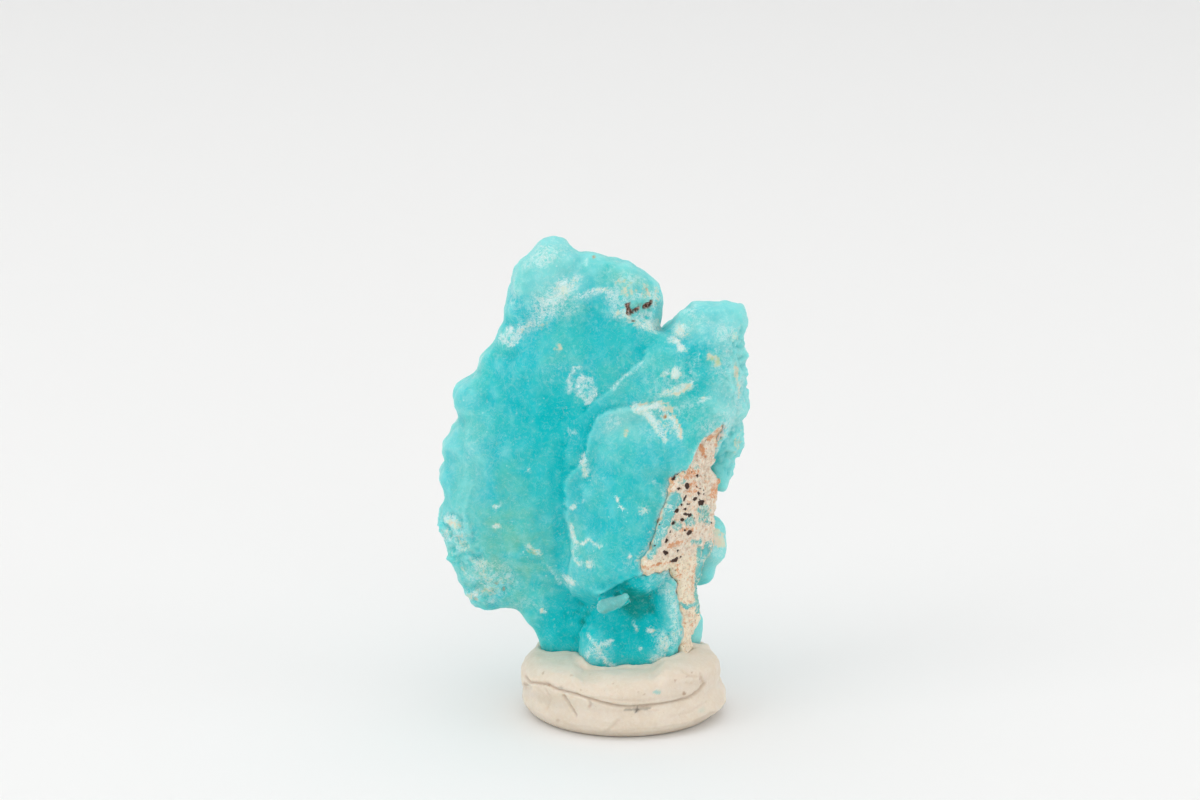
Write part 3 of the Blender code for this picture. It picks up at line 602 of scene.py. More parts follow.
# Dots of rust, and the cavities under the crown's right end, whose dark brown is partly painted shade in
# the holes
RUST_OVALS = (
    (-16.8, 17.5, 0.24, 0.2, 0, 0.5), (-15.8, 16.7, 0.22, 0.24, 0, 0.55), (5.3, 40.2, 0.25, 0.25, 0, 1),
    (-3.9, 61.5, 0.2, 0.2, 0, 0.8), (2.9, 57.2, 0.2, 0.15, 0, 0.6), (-19.6, 15.2, 0.3, 0.2, 0, 0.5),
    (14.5, 47, 0.2, 0.7, 0, 0.2),
)
CAVITIES = (
    (0.5, 54.8, 0.42, 0.5, 10, 1), (1, 54.2, 0.44, 0.36, 0, 1), (1.6, 54.5, 0.36, 0.28, 30, 1),
    (2.1, 54.8, 0.5, 0.34, 25, 1), (2.7, 54.8, 0.3, 0.24, 0, 0.9), (3.3, 55, 0.4, 0.42, 40, 1),
    (3.6, 55.4, 0.24, 0.34, 0, 1), (0.6, 54, 0.24, 0.34, 0, 0.9), (1.2, 52.9, 0.2, 0.16, 0, 0.7),
    (1.4, 54, 0.16, 0.24, 0, 0.9),
)
rust = most(*marks.patches(RUST_OVALS, 0.2))
cavity = most(*marks.patches(CAVITIES, 1.0, 0.8))
around_cavity = marks.patch(1.9, 54.4, 2.2, 1.1, 10)

# Where the crust is painted deeper blue: partly thick, saturated crust, partly painted shade under the
# ledge at the foot and in the creases
DEEP_AND_SHADE_OVALS = (
    (1.2, 12.4, 5.4, 6.4, 0, 0.54), (1.6, 15.4, 2.6, 2, 0, 0.42), (-8.2, 10.6, 3.6, 3.6, 0, 0.4),
    (-9.8, 24, 2.6, 8, 0, 0.18), (-9, 36, 5, 7, -20, 0.35), (-1, 50.6, 6, 2.8, 0, 0.3),
    (-7, 14.6, 3, 2.4, 0, 0.3), (10, 46.5, 2.8, 4, 0, 0.3), (-3.6, 41, 2.6, 1.8, 40, 0.2),
    (-12, 43, 5, 5, 0, 0.25), (0.6, 27, 4.8, 8, 0, 0.22),
)
deep = sum(marks.patches(DEEP_AND_SHADE_OVALS, 0.15, 1.4))
# Painted shade: the hollows are painted deeper too
deep = off_stub * np.clip(deep * (1 + 0.25 * waves(crust.points, 1.8, 4.4, 3)) + 0.25 * valleys, 0, 1)
GREEN_OVALS = (
    (-15, 21, 8, 8, 0, 1), (-13, 31, 7, 4.5, 20, 0.65), (0.8, 58.2, 2.4, 1.4, -15, 1),
    (2.6, 56.6, 1.8, 2.4, 0, 0.6), (4.4, 30, 2.6, 5, 0, 0.45), (13.2, 44, 2.4, 5, 0, 0.4),
    (-12, 15.6, 5, 2.6, 0, 0.6), (-9.8, 62.4, 1.6, 0.8, 0, 0.5), (0.2, 38, 0.5, 0.9, 0, 1),
    (11.8, 47.6, 1.3, 1, 0, 1), (2, 54.6, 2.8, 1.5, 10, 0.9), (-5.3, 32, 0.4, 0.5, 0, 0.6),
    (14.5, 34, 2, 4, 0, 0.4),
)
green = most(*marks.patches(GREEN_OVALS, 0.3, 1.2))
# Where the crust shows pale: partly where it thins out, partly painted light on the rims and crown top.
# Keyed by how soft each oval's edge is
PALE_AND_LIT_OVALS = {
    1.6: (
        (-9.5, 60, 5, 4, 0, 0.85), (1, 58, 4, 3, 0, 0.35), (10.5, 52.5, 5, 2.4, 0, 0.6),
        (14.5, 42, 2.8, 12, 0, 0.8),
    ),
    1.4: ((-0.4, 39.4, 4, 2.2, 0, 0.45), (-21, 32, 3, 12, 0, 0.45)),
    1.2: ((6, 14, 1.2, 4.6, 0, 0.6),),
    1.0: ((12, 22, 3, 4, 0, 0.9), (10.8, 10.5, 2, 3.2, 0, 0.9)),
}
# Painted light: ridges, rims turned side-on and the raised lips of folds are painted paler, as if lit and
# glowing through thin stone
pale = ridges * 0.4 + eased(edgeward, 0.35, 0.95) * 0.55 + np.maximum(folded, 0) * 0.9
pale += sum(sum(marks.patches(ovals, 0.2, soft)) for soft, ovals in PALE_AND_LIT_OVALS.items())

# How proud or how deep the marks stand, in millimetres
FROST_PROUD, TAN_PROUD, LACE_PROUD = 0.12, 0.05, 0.10
CAVITY_DEEP, DISH_DEEP, RUST_DEEP = 0.32, 0.12, 0.1
crumbs = marks.crumbs
crust.raise_by(FROST_PROUD * frost * (0.5 + crumbs) + TAN_PROUD * tan * crumbs
               + LACE_PROUD * lace * (1 + crumbs) - CAVITY_DEEP * cavity - DISH_DEEP * around_cavity
               - RUST_DEEP * rust)
# The deep attribute holds thick blue crust and painted shade under the ledge and in the hollows
crust.paint(frost=frost, lace=lace, tan=tan, rust=rust, cavity=cavity, deep=deep, green=green, pale=pale,
            stub=1 - off_stub)


def add_node(tree, kind, inputs, **settings):
    """Adds a node. Each input, by name or number, is linked to an output or set to a value."""
    node = tree.nodes.new(kind)
    for name, value in settings.items():
        setattr(node, name, value)
    for name, value in inputs.items():
        if isinstance(value, bpy.types.NodeSocket):
            tree.links.new(value, node.inputs[name])
        else:
            node.inputs[name].default_value = value
    return node


# The numbers of the mix node's colour inputs and its colour output
MIX_FIRST, MIX_SECOND, MIX_RESULT = 6, 7, 2


class Finish:
    """A Principled material and short ways to wire it up."""

    def __init__(self, name):
        self.material = bpy.data.materials.new(name)
        self.material.use_nodes = True
        self.tree = self.material.node_tree
        self.shader = self.tree.nodes["Principled BSDF"]
        self.place = self.tree.nodes.new("ShaderNodeTexCoord").outputs["Object"]

    def set(self, **values):
        for name, value in values.items():
            self.shader.inputs[name.replace("_", " ")].default_value = value

    def link(self, output, name):
        self.tree.links.new(output, self.shader.inputs[name])

    def painted(self, name):
        return add_node(self.tree, "ShaderNodeAttribute", {}, attribute_name=name).outputs["Fac"]

    def noise(self, size, detail=3.0, roughness=0.55, distortion=0.0, shift=0.0):
        """Noise whose cells are about size millimetres."""
        inputs = {"Vector": self.place, "Location": (shift * MM,) * 3}
        moved = add_node(self.tree, "ShaderNodeMapping", inputs).outputs["Vector"]
        inputs = {"Vector": moved, "Scale": 1 / (size * MM), "Detail": detail, "Roughness": roughness,
                  "Distortion": distortion}
        return add_node(self.tree, "ShaderNodeTexNoise", inputs).outputs["Fac"]

    def cells(self, size, feature="F1"):
        inputs = {"Vector": self.place, "Scale": 1 / (size * MM)}
        return add_node(self.tree, "ShaderNodeTexVoronoi", inputs, feature=feature).outputs["Distance"]

    def between(self, value, low, high, to_low=0.0, to_high=1.0):
        inputs = {"Value": value, "From Min": low, "From Max": high, "To Min": to_low, "To Max": to_high}
        node = add_node(self.tree, "ShaderNodeMapRange", inputs, interpolation_type="SMOOTHSTEP")
        return node.outputs["Result"]

    def dabs(self, size, detail, low, high, to_low=0.0, to_high=1.0, roughness=0.55, distortion=0.0):
        """Noise with its contrast raised, from low and under to high and over."""
        return self.between(self.noise(size, detail, roughness, distortion), low, high, to_low, to_high)

    def sum(self, first, second, operation="ADD"):
        node = add_node(self.tree, "ShaderNodeMath", {0: first, 1: second}, operation=operation)
        return node.outputs["Value"]

    def times(self, first, second):
        return self.sum(first, second, "MULTIPLY")

    def mix(self, share, first, second):
        """A colour between two, by share."""
        first, second = (c if isinstance(c, bpy.types.NodeSocket) else (*c, 1) for c in (first, second))
        inputs = {"Factor": share, MIX_FIRST: first, MIX_SECOND: second}
        return add_node(self.tree, "ShaderNodeMix", inputs, data_type="RGBA").outputs[MIX_RESULT]

    def coated(self, colour, coats):
        """A colour with others laid over it in turn, each by its share."""
        for share, coat in coats:
            colour = self.mix(share, colour, coat)
        return colour

    def bump(self, height, deep, after=None):
        """Small relief, deep millimetres from its lowest to its highest."""
        inputs = {"Strength": 1.0, "Distance": deep * MM, "Height": height}
        if after:
            inputs["Normal"] = after
        return add_node(self.tree, "ShaderNodeBump", inputs).outputs["Normal"]


TURQUOISE = (0.050, 0.57, 0.56)
CLEAR_BLUE = (0.022, 0.55, 0.61)
SEA_GREEN = (0.15, 0.56, 0.46)
CLEAR_DEEP = (0.000, 0.53, 0.57)
DEEP_TEAL_SHADE = (0.000, 0.32, 0.30)
PALE_CYAN = (0.33, 0.73, 0.71)
FROST_WHITE = (0.68, 0.82, 0.80)
STUB_TEAL = (0.17, 0.46, 0.45)
STAIN_TAN = (0.74, 0.68, 0.51)
STAIN_OLIVE = (0.52, 0.62, 0.34)
OLIVE_SPECK = (0.16, 0.34, 0.20)
RUST = (0.58, 0.28, 0.10)
CAVITY_BROWN_SHADE = (0.11, 0.065, 0.050)
CAVITY_PINK = (0.50, 0.34, 0.27)
WEB_WHITE = (0.80, 0.88, 0.86)
GRAIN_WHITE = (0.84, 0.91, 0.89)
LACE_WHITE = (0.74, 0.85, 0.81)
LACE_CREAM = (0.82, 0.80, 0.70)
LACE_RIM = (0.74, 0.72, 0.52)

blue = Finish("hemimorphite crust")


def filaments(finish, size, thin, seed=0.0):
    """Fine wandering lines like felted fibres, from a noise's middle contour."""
    away = finish.sum(finish.noise(size, 4, 0.6, 1.2, seed), 0.5, "SUBTRACT")
    return finish.between(finish.sum(away, 0.0, "ABSOLUTE"), 0.0, thin, 1.0, 0.0)


times, between, dabs = blue.times, blue.between, blue.dabs
deep, frost, green, lace = (blue.painted(name) for name in ("deep", "frost", "green", "lace"))
# Less where the deep attribute lays thick blue and painted shade
clear_of_deep_and_shade = between(deep, 0.05, 0.6, 1.0, 0.25)
body = blue.mix(dabs(5.0, 4, 0.38, 0.62), TURQUOISE, CLEAR_BLUE)
body = blue.coated(body, (
    (times(green, dabs(2.6, 5, 0.3, 0.7)), SEA_GREEN),
    # Pale thin crust and painted light, by the pale attribute
    (times(blue.painted("pale"), 0.70), PALE_CYAN),
    (dabs(2.0, 9, 0.46, 0.72, 0.0, 0.40, 0.72, 0.8), PALE_CYAN),
    (dabs(0.30, 4, 0.40, 0.75, 0.0, 0.13, 0.75), PALE_CYAN),
    (times(blue.painted("stub"), 0.9), STUB_TEAL),
    # Deep blue and darker teal by the deep attribute: thick crust, and painted shade under the ledge and in
    # the hollows
    (between(deep, 0.0, 0.6), CLEAR_DEEP),
    (between(deep, 0.5, 1.0), DEEP_TEAL_SHADE),
    (times(times(filaments(blue, 1.3, 0.02), 0.22), clear_of_deep_and_shade), FROST_WHITE),
))
haze = between(blue.sum(frost, dabs(0.55, 9, 0.36, 0.64, -0.45, 0.25, 0.75, 0.5)), 0.02, 0.95, 0.0, 0.76)
lacy = between(blue.sum(lace, dabs(0.33, 7, 0.3, 0.7, -0.6, 0.35, 0.75)), 0.15, 0.80, 0.0, 0.92)
lacy = times(lacy, between(lace, 0.03, 0.30))
lacy = times(lacy, blue.sum(times(filaments(blue, 0.6, 0.07, 7.0), 0.45), 0.55))
lace_rim = blue.sum(between(lace, 0.10, 0.35), between(lace, 0.55, 0.85), "SUBTRACT")
lace_colour = blue.mix(dabs(0.9, 4, 0.4, 0.65), LACE_WHITE, LACE_CREAM)
lace_colour = blue.mix(times(lace_rim, 0.6), lace_colour, LACE_RIM)
tanned = between(blue.sum(blue.painted("tan"), dabs(0.4, 6, 0.3, 0.7, -0.4, 0.4, 0.7)), 0.2, 0.9, 0.0, 0.85)
olive = times(between(green, 0.8, 1.0), dabs(0.5, 4, 0.4, 0.6))
pit_brown_and_shade = blue.mix(dabs(0.35, 4, 0.46, 0.60), CAVITY_BROWN_SHADE, CAVITY_PINK)
body = blue.coated(body, (
    (haze, FROST_WHITE),
    (times(filaments(blue, 0.8, 0.05, 3.0), between(frost, 0.04, 0.60, 0.0, 0.75)), WEB_WHITE),
    (times(dabs(0.28, 4, 0.50, 0.68, roughness=0.65), between(frost, 0.12, 0.9, 0, 0.45)), GRAIN_WHITE),
    (lacy, lace_colour),
    (tanned, blue.mix(olive, STAIN_TAN, STAIN_OLIVE)),
    (times(times(tanned, olive), between(blue.cells(0.42), 0.10, 0.24, 0.85, 0.0)), OLIVE_SPECK),
    (times(between(blue.cells(1.3), 0.06, 0.11, 1.0, 0.0),
           times(dabs(2.4, 3, 0.50, 0.62, 0.0, 0.55), clear_of_deep_and_shade)), FROST_WHITE),
    (blue.painted("rust"), RUST),
    # Partly painted shade: dark brown inside the cavities
    (between(blue.painted("cavity"), 0.1, 0.8), pit_brown_and_shade),
))
blue.link(body, "Base Color")
blue.link(between(blue.sum(haze, dabs(1.2, 4, 0.3, 0.7, 0, 0.35)), 0.0, 1.0, 0.36, 0.8), "Roughness")
blue.set(Subsurface_Weight=0.85, Subsurface_Scale=2.2 * MM, Subsurface_Radius=(0.22, 1.0, 0.95), IOR=1.5,
         Specular_IOR_Level=0.06)
grain = blue.bump(blue.noise(0.22, 5, 0.7), 0.03)
blue.link(blue.bump(blue.noise(0.8, 5, 0.65), 0.07, grain), "Normal")

crust_piece = crust.piece("hemimorphite_crust", blue.material)
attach(crust_piece, "root")
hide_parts("hemimorphite")

# The frost itself. Tiny six-sided blades of hemimorphite that stand on the white patches, each
# under half a millimetre long and grown fast to the crust, leaning every way.
BLADE_LONG = 0.34
BLADE_THICK = 0.075


def blade_mesh():
    """One blade a unit long: a flattened six-sided stem with a wedge at its tip."""
    bm = bmesh.new()
    turns = [math.pi / 3 * side for side in range(6)]
    foot, top = ([bm.verts.new((math.cos(turn) * wide, math.sin(turn) * wide * 0.55, up)) for turn in turns]
                 for up, wide in ((0.0, 0.8), (0.72, 1.0)))
    right, left = bm.verts.new((0.35, 0, 1.0)), bm.verts.new((-0.35, 0, 1.0))
    for i in range(6):
        j = (i + 1) % 6
        bm.faces.new((foot[i], foot[j], top[j], top[i]))
    slopes = ((top[0], top[1], right), (top[1], top[2], left, right), (top[2], top[3], left),
              (top[3], top[4], left), (top[4], top[5], right, left), (top[5], top[0], right))
    for corners in (*slopes, foot[::-1]):
        bm.faces.new(corners)
    bmesh.ops.recalc_face_normals(bm, faces=bm.faces)
    mesh = bpy.data.meshes.new("blade")
    bm.to_mesh(mesh)
    bm.free()
    return mesh


def strewing_tree(name, material, attribute, seed):
    """Stands one small shape all over a surface, thickest where the attribute is high."""
    tree = bpy.data.node_groups.new(name, "GeometryNodeTree")
    for label, kind in (("Surface", "Geometry"), ("Shape", "Object"), ("Most per square metre", "Float"),
                        ("Long", "Float"), ("Thick", "Float"), ("Lean", "Float"), ("From", "Float")):
        tree.interface.new_socket(label, in_out="INPUT", socket_type="NodeSocket" + kind)
    tree.interface.new_socket("Strewn", in_out="OUTPUT", socket_type="NodeSocketGeometry")
    given = tree.nodes.new("NodeGroupInput").outputs
    where = add_node(tree, "GeometryNodeInputNamedAttribute", {"Name": attribute}, data_type="FLOAT")
    how_many = add_node(tree, "ShaderNodeMapRange", {
        "Value": where.outputs["Attribute"], "From Min": given["From"], "From Max": 0.9,
        "To Max": given["Most per square metre"]})
    spread = add_node(tree, "GeometryNodeDistributePointsOnFaces", {
        "Mesh": given["Surface"], "Density": how_many.outputs["Result"], "Seed": seed})
    shape = add_node(tree, "GeometryNodeObjectInfo", {"Object": given["Shape"]})
    # Inputs 2 and 3 are the least and most of a random number, 0 and 1 those of a random vector
    size = add_node(tree, "FunctionNodeRandomValue", {2: 0.45, 3: 1.0, "Seed": seed + 1}, data_type="FLOAT")
    lean = add_node(tree, "FunctionNodeRandomValue", {0: (-1, -1, -6), 1: (1, 1, 6), "Seed": seed + 2},
                    data_type="FLOAT_VECTOR")
    full = add_node(tree, "ShaderNodeCombineXYZ", {
        "X": given["Thick"], "Y": given["Thick"], "Z": given["Long"]})
    scale = add_node(tree, "ShaderNodeVectorMath", {0: full.outputs["Vector"], "Scale": size.outputs[1]},
                     operation="SCALE")
    leaned = add_node(tree, "ShaderNodeVectorMath", {0: lean.outputs[0], "Scale": given["Lean"]},
                      operation="SCALE")
    turned = add_node(tree, "FunctionNodeRotateRotation", {
        "Rotation": spread.outputs["Rotation"], "Rotate By": leaned.outputs["Vector"]},
        rotation_space="LOCAL")
    stand = add_node(tree, "GeometryNodeInstanceOnPoints", {
        "Points": spread.outputs["Points"], "Instance": shape.outputs["Geometry"],
        "Rotation": turned.outputs["Rotation"], "Scale": scale.outputs["Vector"]})
    real = add_node(tree, "GeometryNodeRealizeInstances", {"Geometry": stand.outputs["Instances"]})
    coat = add_node(tree, "GeometryNodeSetMaterial", {
        "Geometry": real.outputs["Geometry"], "Material": material})
    add_node(tree, "NodeGroupOutput", {"Strewn": coat.outputs["Geometry"]})
    return tree


def strewn_over(name, surface, shape_mesh, material, attribute, seed, **sizes):
    """The strewn shapes as a plain mesh object. Sizes are set by the names of the tree's inputs."""
    shape = linked(name + " shape", shape_mesh)
    carrier = linked(name + " carrier", surface.data)
    tree = strewing_tree(name + " tree", material, attribute, seed)
    modifier = carrier.modifiers.new("strewn", "NODES")
    modifier.node_group = tree
    inputs = {s.name: s.identifier for s in tree.interface.items_tree if s.in_out == "INPUT"}
    modifier[inputs["Shape"]] = shape
    for label, value in sizes.items():
        modifier[inputs[label.replace("_", " ")]] = value
    bpy.context.view_layer.update()
    graph = bpy.context.evaluated_depsgraph_get()
    mesh = bpy.data.meshes.new_from_object(carrier.evaluated_get(graph))
    mesh.name = name
    for obj in (carrier, shape):
        bpy.data.objects.remove(obj)
    return linked(name, mesh)


ICE_BLUE = (0.62, 0.86, 0.84)
ICE_WHITE = (0.86, 0.94, 0.92)
icy = Finish("frost blades")
icy.link(icy.mix(icy.dabs(0.8, 3, 0.35, 0.65), ICE_BLUE, ICE_WHITE), "Base Color")
icy.link(icy.dabs(0.5, 3, 0.3, 0.7, 0.25, 0.5), "Roughness")
icy.set(Subsurface_Weight=0.3, Subsurface_Scale=0.3 * MM, Subsurface_Radius=(0.8, 1.0, 1.0), IOR=1.6)
icy.link(icy.bump(icy.noise(0.1, 3), 0.01), "Normal")
frost_piece = strewn_over("frost_blades", crust_piece, blade_mesh(), icy.material, "frost", 11,
                          Most_per_square_metre=6e6, Long=BLADE_LONG * MM, Thick=BLADE_THICK * MM, Lean=0.9,
                          From=0.5)
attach(frost_piece, "root")

# The matrix rock. A streak of pale cream host rock, broken open on the right: platy and rough,
# rusty along its upper edges, stained teal where the crust bleeds in, and set with vesicles whose
# dark brown is partly painted shade in the holes. It is grown fast to the crust, so its mesh
# reaches the crust's own.
ROCK_FINE = 0.17 * MM
ROCK_WORN = 8
ROCK_PROUD = 0.36
VESICLE_DEEP = 0.24
VESICLE_APART = 0.95
rock = Surface("matrix_rock", ROCK_FINE, ROCK_WORN)
marks = Places(rock, -0.5)
plates = beads(rock.points * np.array([1.0, 1.0, 0.55]), 1.5, 2.0)
pushed(rock, ROCK_LEAN)
pushed(rock, (
    (9, 35.8, 1.6, -0.4, -0.2, 0), (6, 32.4, 1.6, -0.35, -0.1, 0), (12.6, 31, 0.7, 0.55, -0.1, 0.8),
    (5, 28.4, 1.8, -0.1, -0.15, 0), (3.8, 25, 1.8, -0.1, -0.15, 0), (2.4, 21.6, 1.6, -0.1, -0.1, 0),
    (7, 17.6, 0.9, 0.6, 0, 0), (9.9, 17, 1.2, -0.35, 0, 0), (9.6, 9.9, 1.2, -0.6, 0, 0),
))
upright = rock.points * np.array([1.0, 1.0, 0.7])
rock.raise_by(ROCK_PROUD + 0.12 * (plates - 0.4) + 0.30 * waves(upright, 1.0, 1.0, 4)
              + 0.12 * waves(rock.points, 0.4, 5.0, 2))

VESICLES = (
    (8, 34.1, 0.26, 0.42, -10, 1), (7.9, 33.3, 0.12, 0.18, 0, 0.9), (7.1, 33, 0.22, 0.4, -30, 0.9),
    (6.7, 32.6, 0.15, 0.22, -30, 0.9), (6.3, 32, 0.2, 0.34, -20, 0.9), (8.2, 31, 0.34, 0.44, 10, 0.9),
    (9.6, 32.3, 0.3, 0.2, 20, 0.85), (7.1, 30.7, 0.24, 0.2, 0, 0.8), (8, 29.4, 0.16, 0.42, -30, 0.8),
    (9.3, 29.2, 0.34, 0.19, 25, 1), (10.1, 28.65, 0.46, 0.34, 25, 1), (9.85, 29.9, 0.26, 0.22, 0, 0.9),
    (10.5, 29.8, 0.15, 0.2, 0, 0.8), (8.4, 28.6, 0.36, 0.1, 20, 0.8), (6.9, 27.7, 0.38, 0.2, 30, 1),
    (8, 27.95, 0.22, 0.15, 0, 1), (8.1, 27.3, 0.42, 0.2, -15, 1), (8.6, 27.1, 0.2, 0.22, 0, 1),
    (7.6, 26.4, 0.25, 0.3, -20, 0.9), (6.4, 26.1, 0.27, 0.2, 30, 0.9), (8.5, 24.6, 0.42, 0.32, 20, 0.9),
    (8, 25, 0.2, 0.15, 0, 0.9), (5.5, 23.8, 0.2, 0.32, -30, 0.95), (3.9, 23, 0.14, 0.14, 0, 0.9),
    (5.5, 22.1, 0.32, 0.32, 0, 0.85), (7.1, 22.3, 0.12, 0.16, 0, 0.8), (6.8, 21.1, 0.85, 0.26, 18, 0.8),
    (4.5, 25.9, 0.15, 0.14, 0, 0.9), (9.2, 26.6, 0.12, 0.14, 0, 0.8), (7.5, 28.5, 0.12, 0.12, 0, 0.9),
    (9.5, 30.8, 0.16, 0.12, 0, 0.7), (8.8, 32.9, 0.12, 0.18, 0, 0.6), (10.6, 37.2, 0.22, 0.3, -30, 0.45),
    (6, 25, 0.12, 0.2, -20, 0.8), (7.2, 24.4, 0.14, 0.1, 0, 0.7), (5.2, 21.2, 0.12, 0.1, 0, 0.7),
)
face = eased(rock.normals[:, 0] - rock.normals[:, 1], 0.2, 0.9)
vesicle = most(*marks.patches(VESICLES, 0.45, 0.7))
pitted = (eased(rock.points[:, 2], 21.0, 25.0) * eased(-rock.points[:, 2], -39.0, -36.0)
          * (1 - 0.8 * eased(-marks.across, -10.5, -9.0)))
cells = np.array([noise.voronoi(Vector(p) / VESICLE_APART)[0][0] for p in rock.points])
chosen = eased(waves(rock.points, 1.3, 6.6, 1), -0.1, 0.2)
vesicle = most(vesicle, eased(-cells + 0.08 * marks.ragged, -0.24, -0.14) * pitted * chosen * face * 0.85)
rock_deep = rock.hollow(20)
RUSTY_MARKS = (
    (10, 36.1, 0.5, 0.6, 30, 0.9, 1.1), (11.2, 37.5, 0.5, 0.7, 30, 0.9, 0.9),
    (10.4, 35.2, 0.3, 0.7, 0, 0.9, 0.8), (8.5, 32.5, 1, 0.6, 20, 0.9, 0.7),
    (9, 31.2, 0.8, 0.9, 0, 0.9, 0.6), (8.9, 30.2, 0.9, 0.2, 0, 0.8, 0.9),
    ([(5.7, 30.2), (6, 31.8), (6.6, 33.2)], 0.35, 0.8, 1, 0.9), (8.2, 25.1, 0.7, 0.35, 0, 0.9, 1),
    (6.5, 23.2, 0.9, 0.4, 10, 0.9, 0.9), ([(3.6, 25.2), (2.7, 23.4), (1.7, 21.6)], 0.3, 0.8, 1, 0.9),
    (7.2, 19.3, 0.45, 0.8, 0, 0.9, 0.5), ([(2.4, 20.2), (4.6, 20.6), (6.4, 20.9)], 0.17, 1.1, 1, 0.65),
    (12.1, 30.3, 0.5, 1.2, -25, 0.7, 0.8), ([(12.2, 38.6), (12, 36.4)], 0.2, 0.8, 1, 0.7),
    ([(9.4, 20), (9, 17), (9, 12)], 0.3, 1.2, 1.2, 0.35),
    ([(7.6, 14.4), (7.9, 12), (7.2, 10)], 0.25, 1.2, 1.2, 0.4),
)
rusty = marks.marked(RUSTY_MARKS)
TEAL_MARKS = (
    ([(6.5, 29.4), (5.6, 27.4), (4.8, 25.4), (4, 23.8), (3.1, 22.2)], 0.85, 0.35, 0.8, 1.6),
    ([(7.2, 15.2), (8.3, 14.45), (9.3, 14.7)], 0.26, 0.6, 0.9, 1.3),
    ([(10.1, 22.5), (9.7, 18.9), (9.6, 16), (9.8, 13.7)], 0.3, 0.7, 0.9, 0.9),
    ([(10.9, 22.6), (10.2, 20.4), (10, 18.6)], 0.35, 0.6, 0.9, 1), (9.3, 33.6, 0.5, 0.4, 0, 0.8, 0.4),
    (8.5, 26.3, 0.8, 0.55, 10, 0.7, 0.9), (6.8, 25.8, 0.7, 0.7, 0, 0.7, 0.8),
    (10.6, 27, 0.9, 1.4, 10, 0.5, 0.75), (9.6, 23.4, 0.7, 0.4, -15, 0.6, 0.9),
    (7.6, 31.6, 0.6, 0.4, 0, 0.8, 0.4), (11.2, 21.4, 0.6, 1.6, 0, 0.8, 0.8),
    (6.6, 32.6, 0.5, 0.9, -30, 0.7, 0.5), (10.4, 17, 0.5, 2.6, 0, 0.8, 0.6),
)
teal = marks.marked(TEAL_MARKS)
cream = eased(-marks.up, -22.5, -20.5)
rock.raise_by(-VESICLE_DEEP * vesicle + 0.05 * marks.crumbs)
stone_tree = BVHTree.FromPolygons([Vector(p) for p in crust.points],
                                  [tuple(p.vertices) for p in crust.mesh.polygons])
rim = eased(-rock.gaps(stone_tree, 1.0), -0.5, -0.12) * (0.9 + 0.8 * marks.ragged)
# The rock's deep attribute is painted shade, darker in its hollows
rock.paint(vesicle=vesicle, rusty=rusty, teal=teal, cream=cream, deep=eased(rock_deep, 0.02, 0.2), rim=rim)

HOST_PALE = (0.90, 0.80, 0.66)
HOST_GREY = (0.70, 0.57, 0.46)
HOST_CREAM = (0.93, 0.83, 0.64)
HOST_RUST = (0.74, 0.32, 0.14)
HOST_CHALK = (0.97, 0.92, 0.83)
HOST_GREEN = (0.52, 0.62, 0.50)
HOST_SEAM = (0.55, 0.36, 0.22)
HOST_FRECKLE = (0.30, 0.17, 0.10)
HOST_ASH = (0.56, 0.50, 0.42)
HOST_ORANGE = (0.88, 0.52, 0.30)
HOST_SHADE = (0.42, 0.30, 0.20)
FILM_TEAL = (0.16, 0.56, 0.50)
FILM_BLUE = (0.05, 0.46, 0.48)
FILM_CLEAR = (0.06, 0.56, 0.58)
VEIN_WHITE = (0.86, 0.88, 0.80)
RIM_RUST = (0.86, 0.56, 0.34)
VESICLE_BROWN_SHADE = (0.085, 0.052, 0.042)

host = Finish("matrix rock")
times, between, dabs = host.times, host.between, host.dabs
rusty, teal = host.painted("rusty"), host.painted("teal")
stained = between(host.sum(rusty, dabs(0.4, 6, 0.35, 0.65, -0.6, 0.4, 0.75)), 0.0, 0.85, 0.0, 0.85)
filmed = between(host.sum(teal, dabs(0.5, 6, 0.35, 0.65, -0.5, 0.3, 0.75)), 0.1, 0.8, 0.0, 0.88)
film = host.mix(dabs(0.9, 4, 0.4, 0.6), FILM_TEAL, FILM_BLUE)
film = host.mix(between(teal, 0.85, 1.0), film, FILM_CLEAR)
plate_edges = between(host.cells(1.7, "DISTANCE_TO_EDGE"), 0.0, 0.05, 0.45, 0.0)
body = host.mix(dabs(0.8, 6, 0.4, 0.7, roughness=0.65), HOST_PALE, HOST_GREY)
body = host.coated(body, (
    (times(host.painted("cream"), 0.8), HOST_CREAM),
    (dabs(0.35, 5, 0.50, 0.70, 0.0, 0.65, 0.7), HOST_CHALK),
    (dabs(1.0, 5, 0.58, 0.68, 0.0, 0.35, 0.7, 0.8), HOST_GREEN),
    (times(plate_edges, dabs(1.1, 4, 0.45, 0.6)), HOST_SEAM),
    (times(between(host.cells(0.62), 0.10, 0.20, 0.75, 0.0), dabs(1.6, 3, 0.47, 0.6)), HOST_FRECKLE),
    (dabs(0.4, 6, 0.52, 0.66, 0.0, 0.55, 0.75), HOST_ASH),
    (times(dabs(0.55, 5, 0.54, 0.66, roughness=0.7), 0.7), HOST_ORANGE),
    # Painted shade in the rock's hollows
    (times(host.painted("deep"), 0.35), HOST_SHADE),
    (stained, HOST_RUST),
    (filmed, film),
    (times(filaments(host, 2.0, 0.03, 5.0), between(teal, 0.1, 0.5, 0, 0.7)), VEIN_WHITE),
    (times(host.painted("rim"), 0.8), host.mix(dabs(0.7, 4, 0.42, 0.58), HOST_CREAM, RIM_RUST)),
    # Partly painted shade: dark brown inside the vesicles
    (between(host.painted("vesicle"), 0.25, 0.6), VESICLE_BROWN_SHADE),
))
host.link(body, "Base Color")
host.link(dabs(0.7, 4, 0.3, 0.7, 0.55, 0.85), "Roughness")
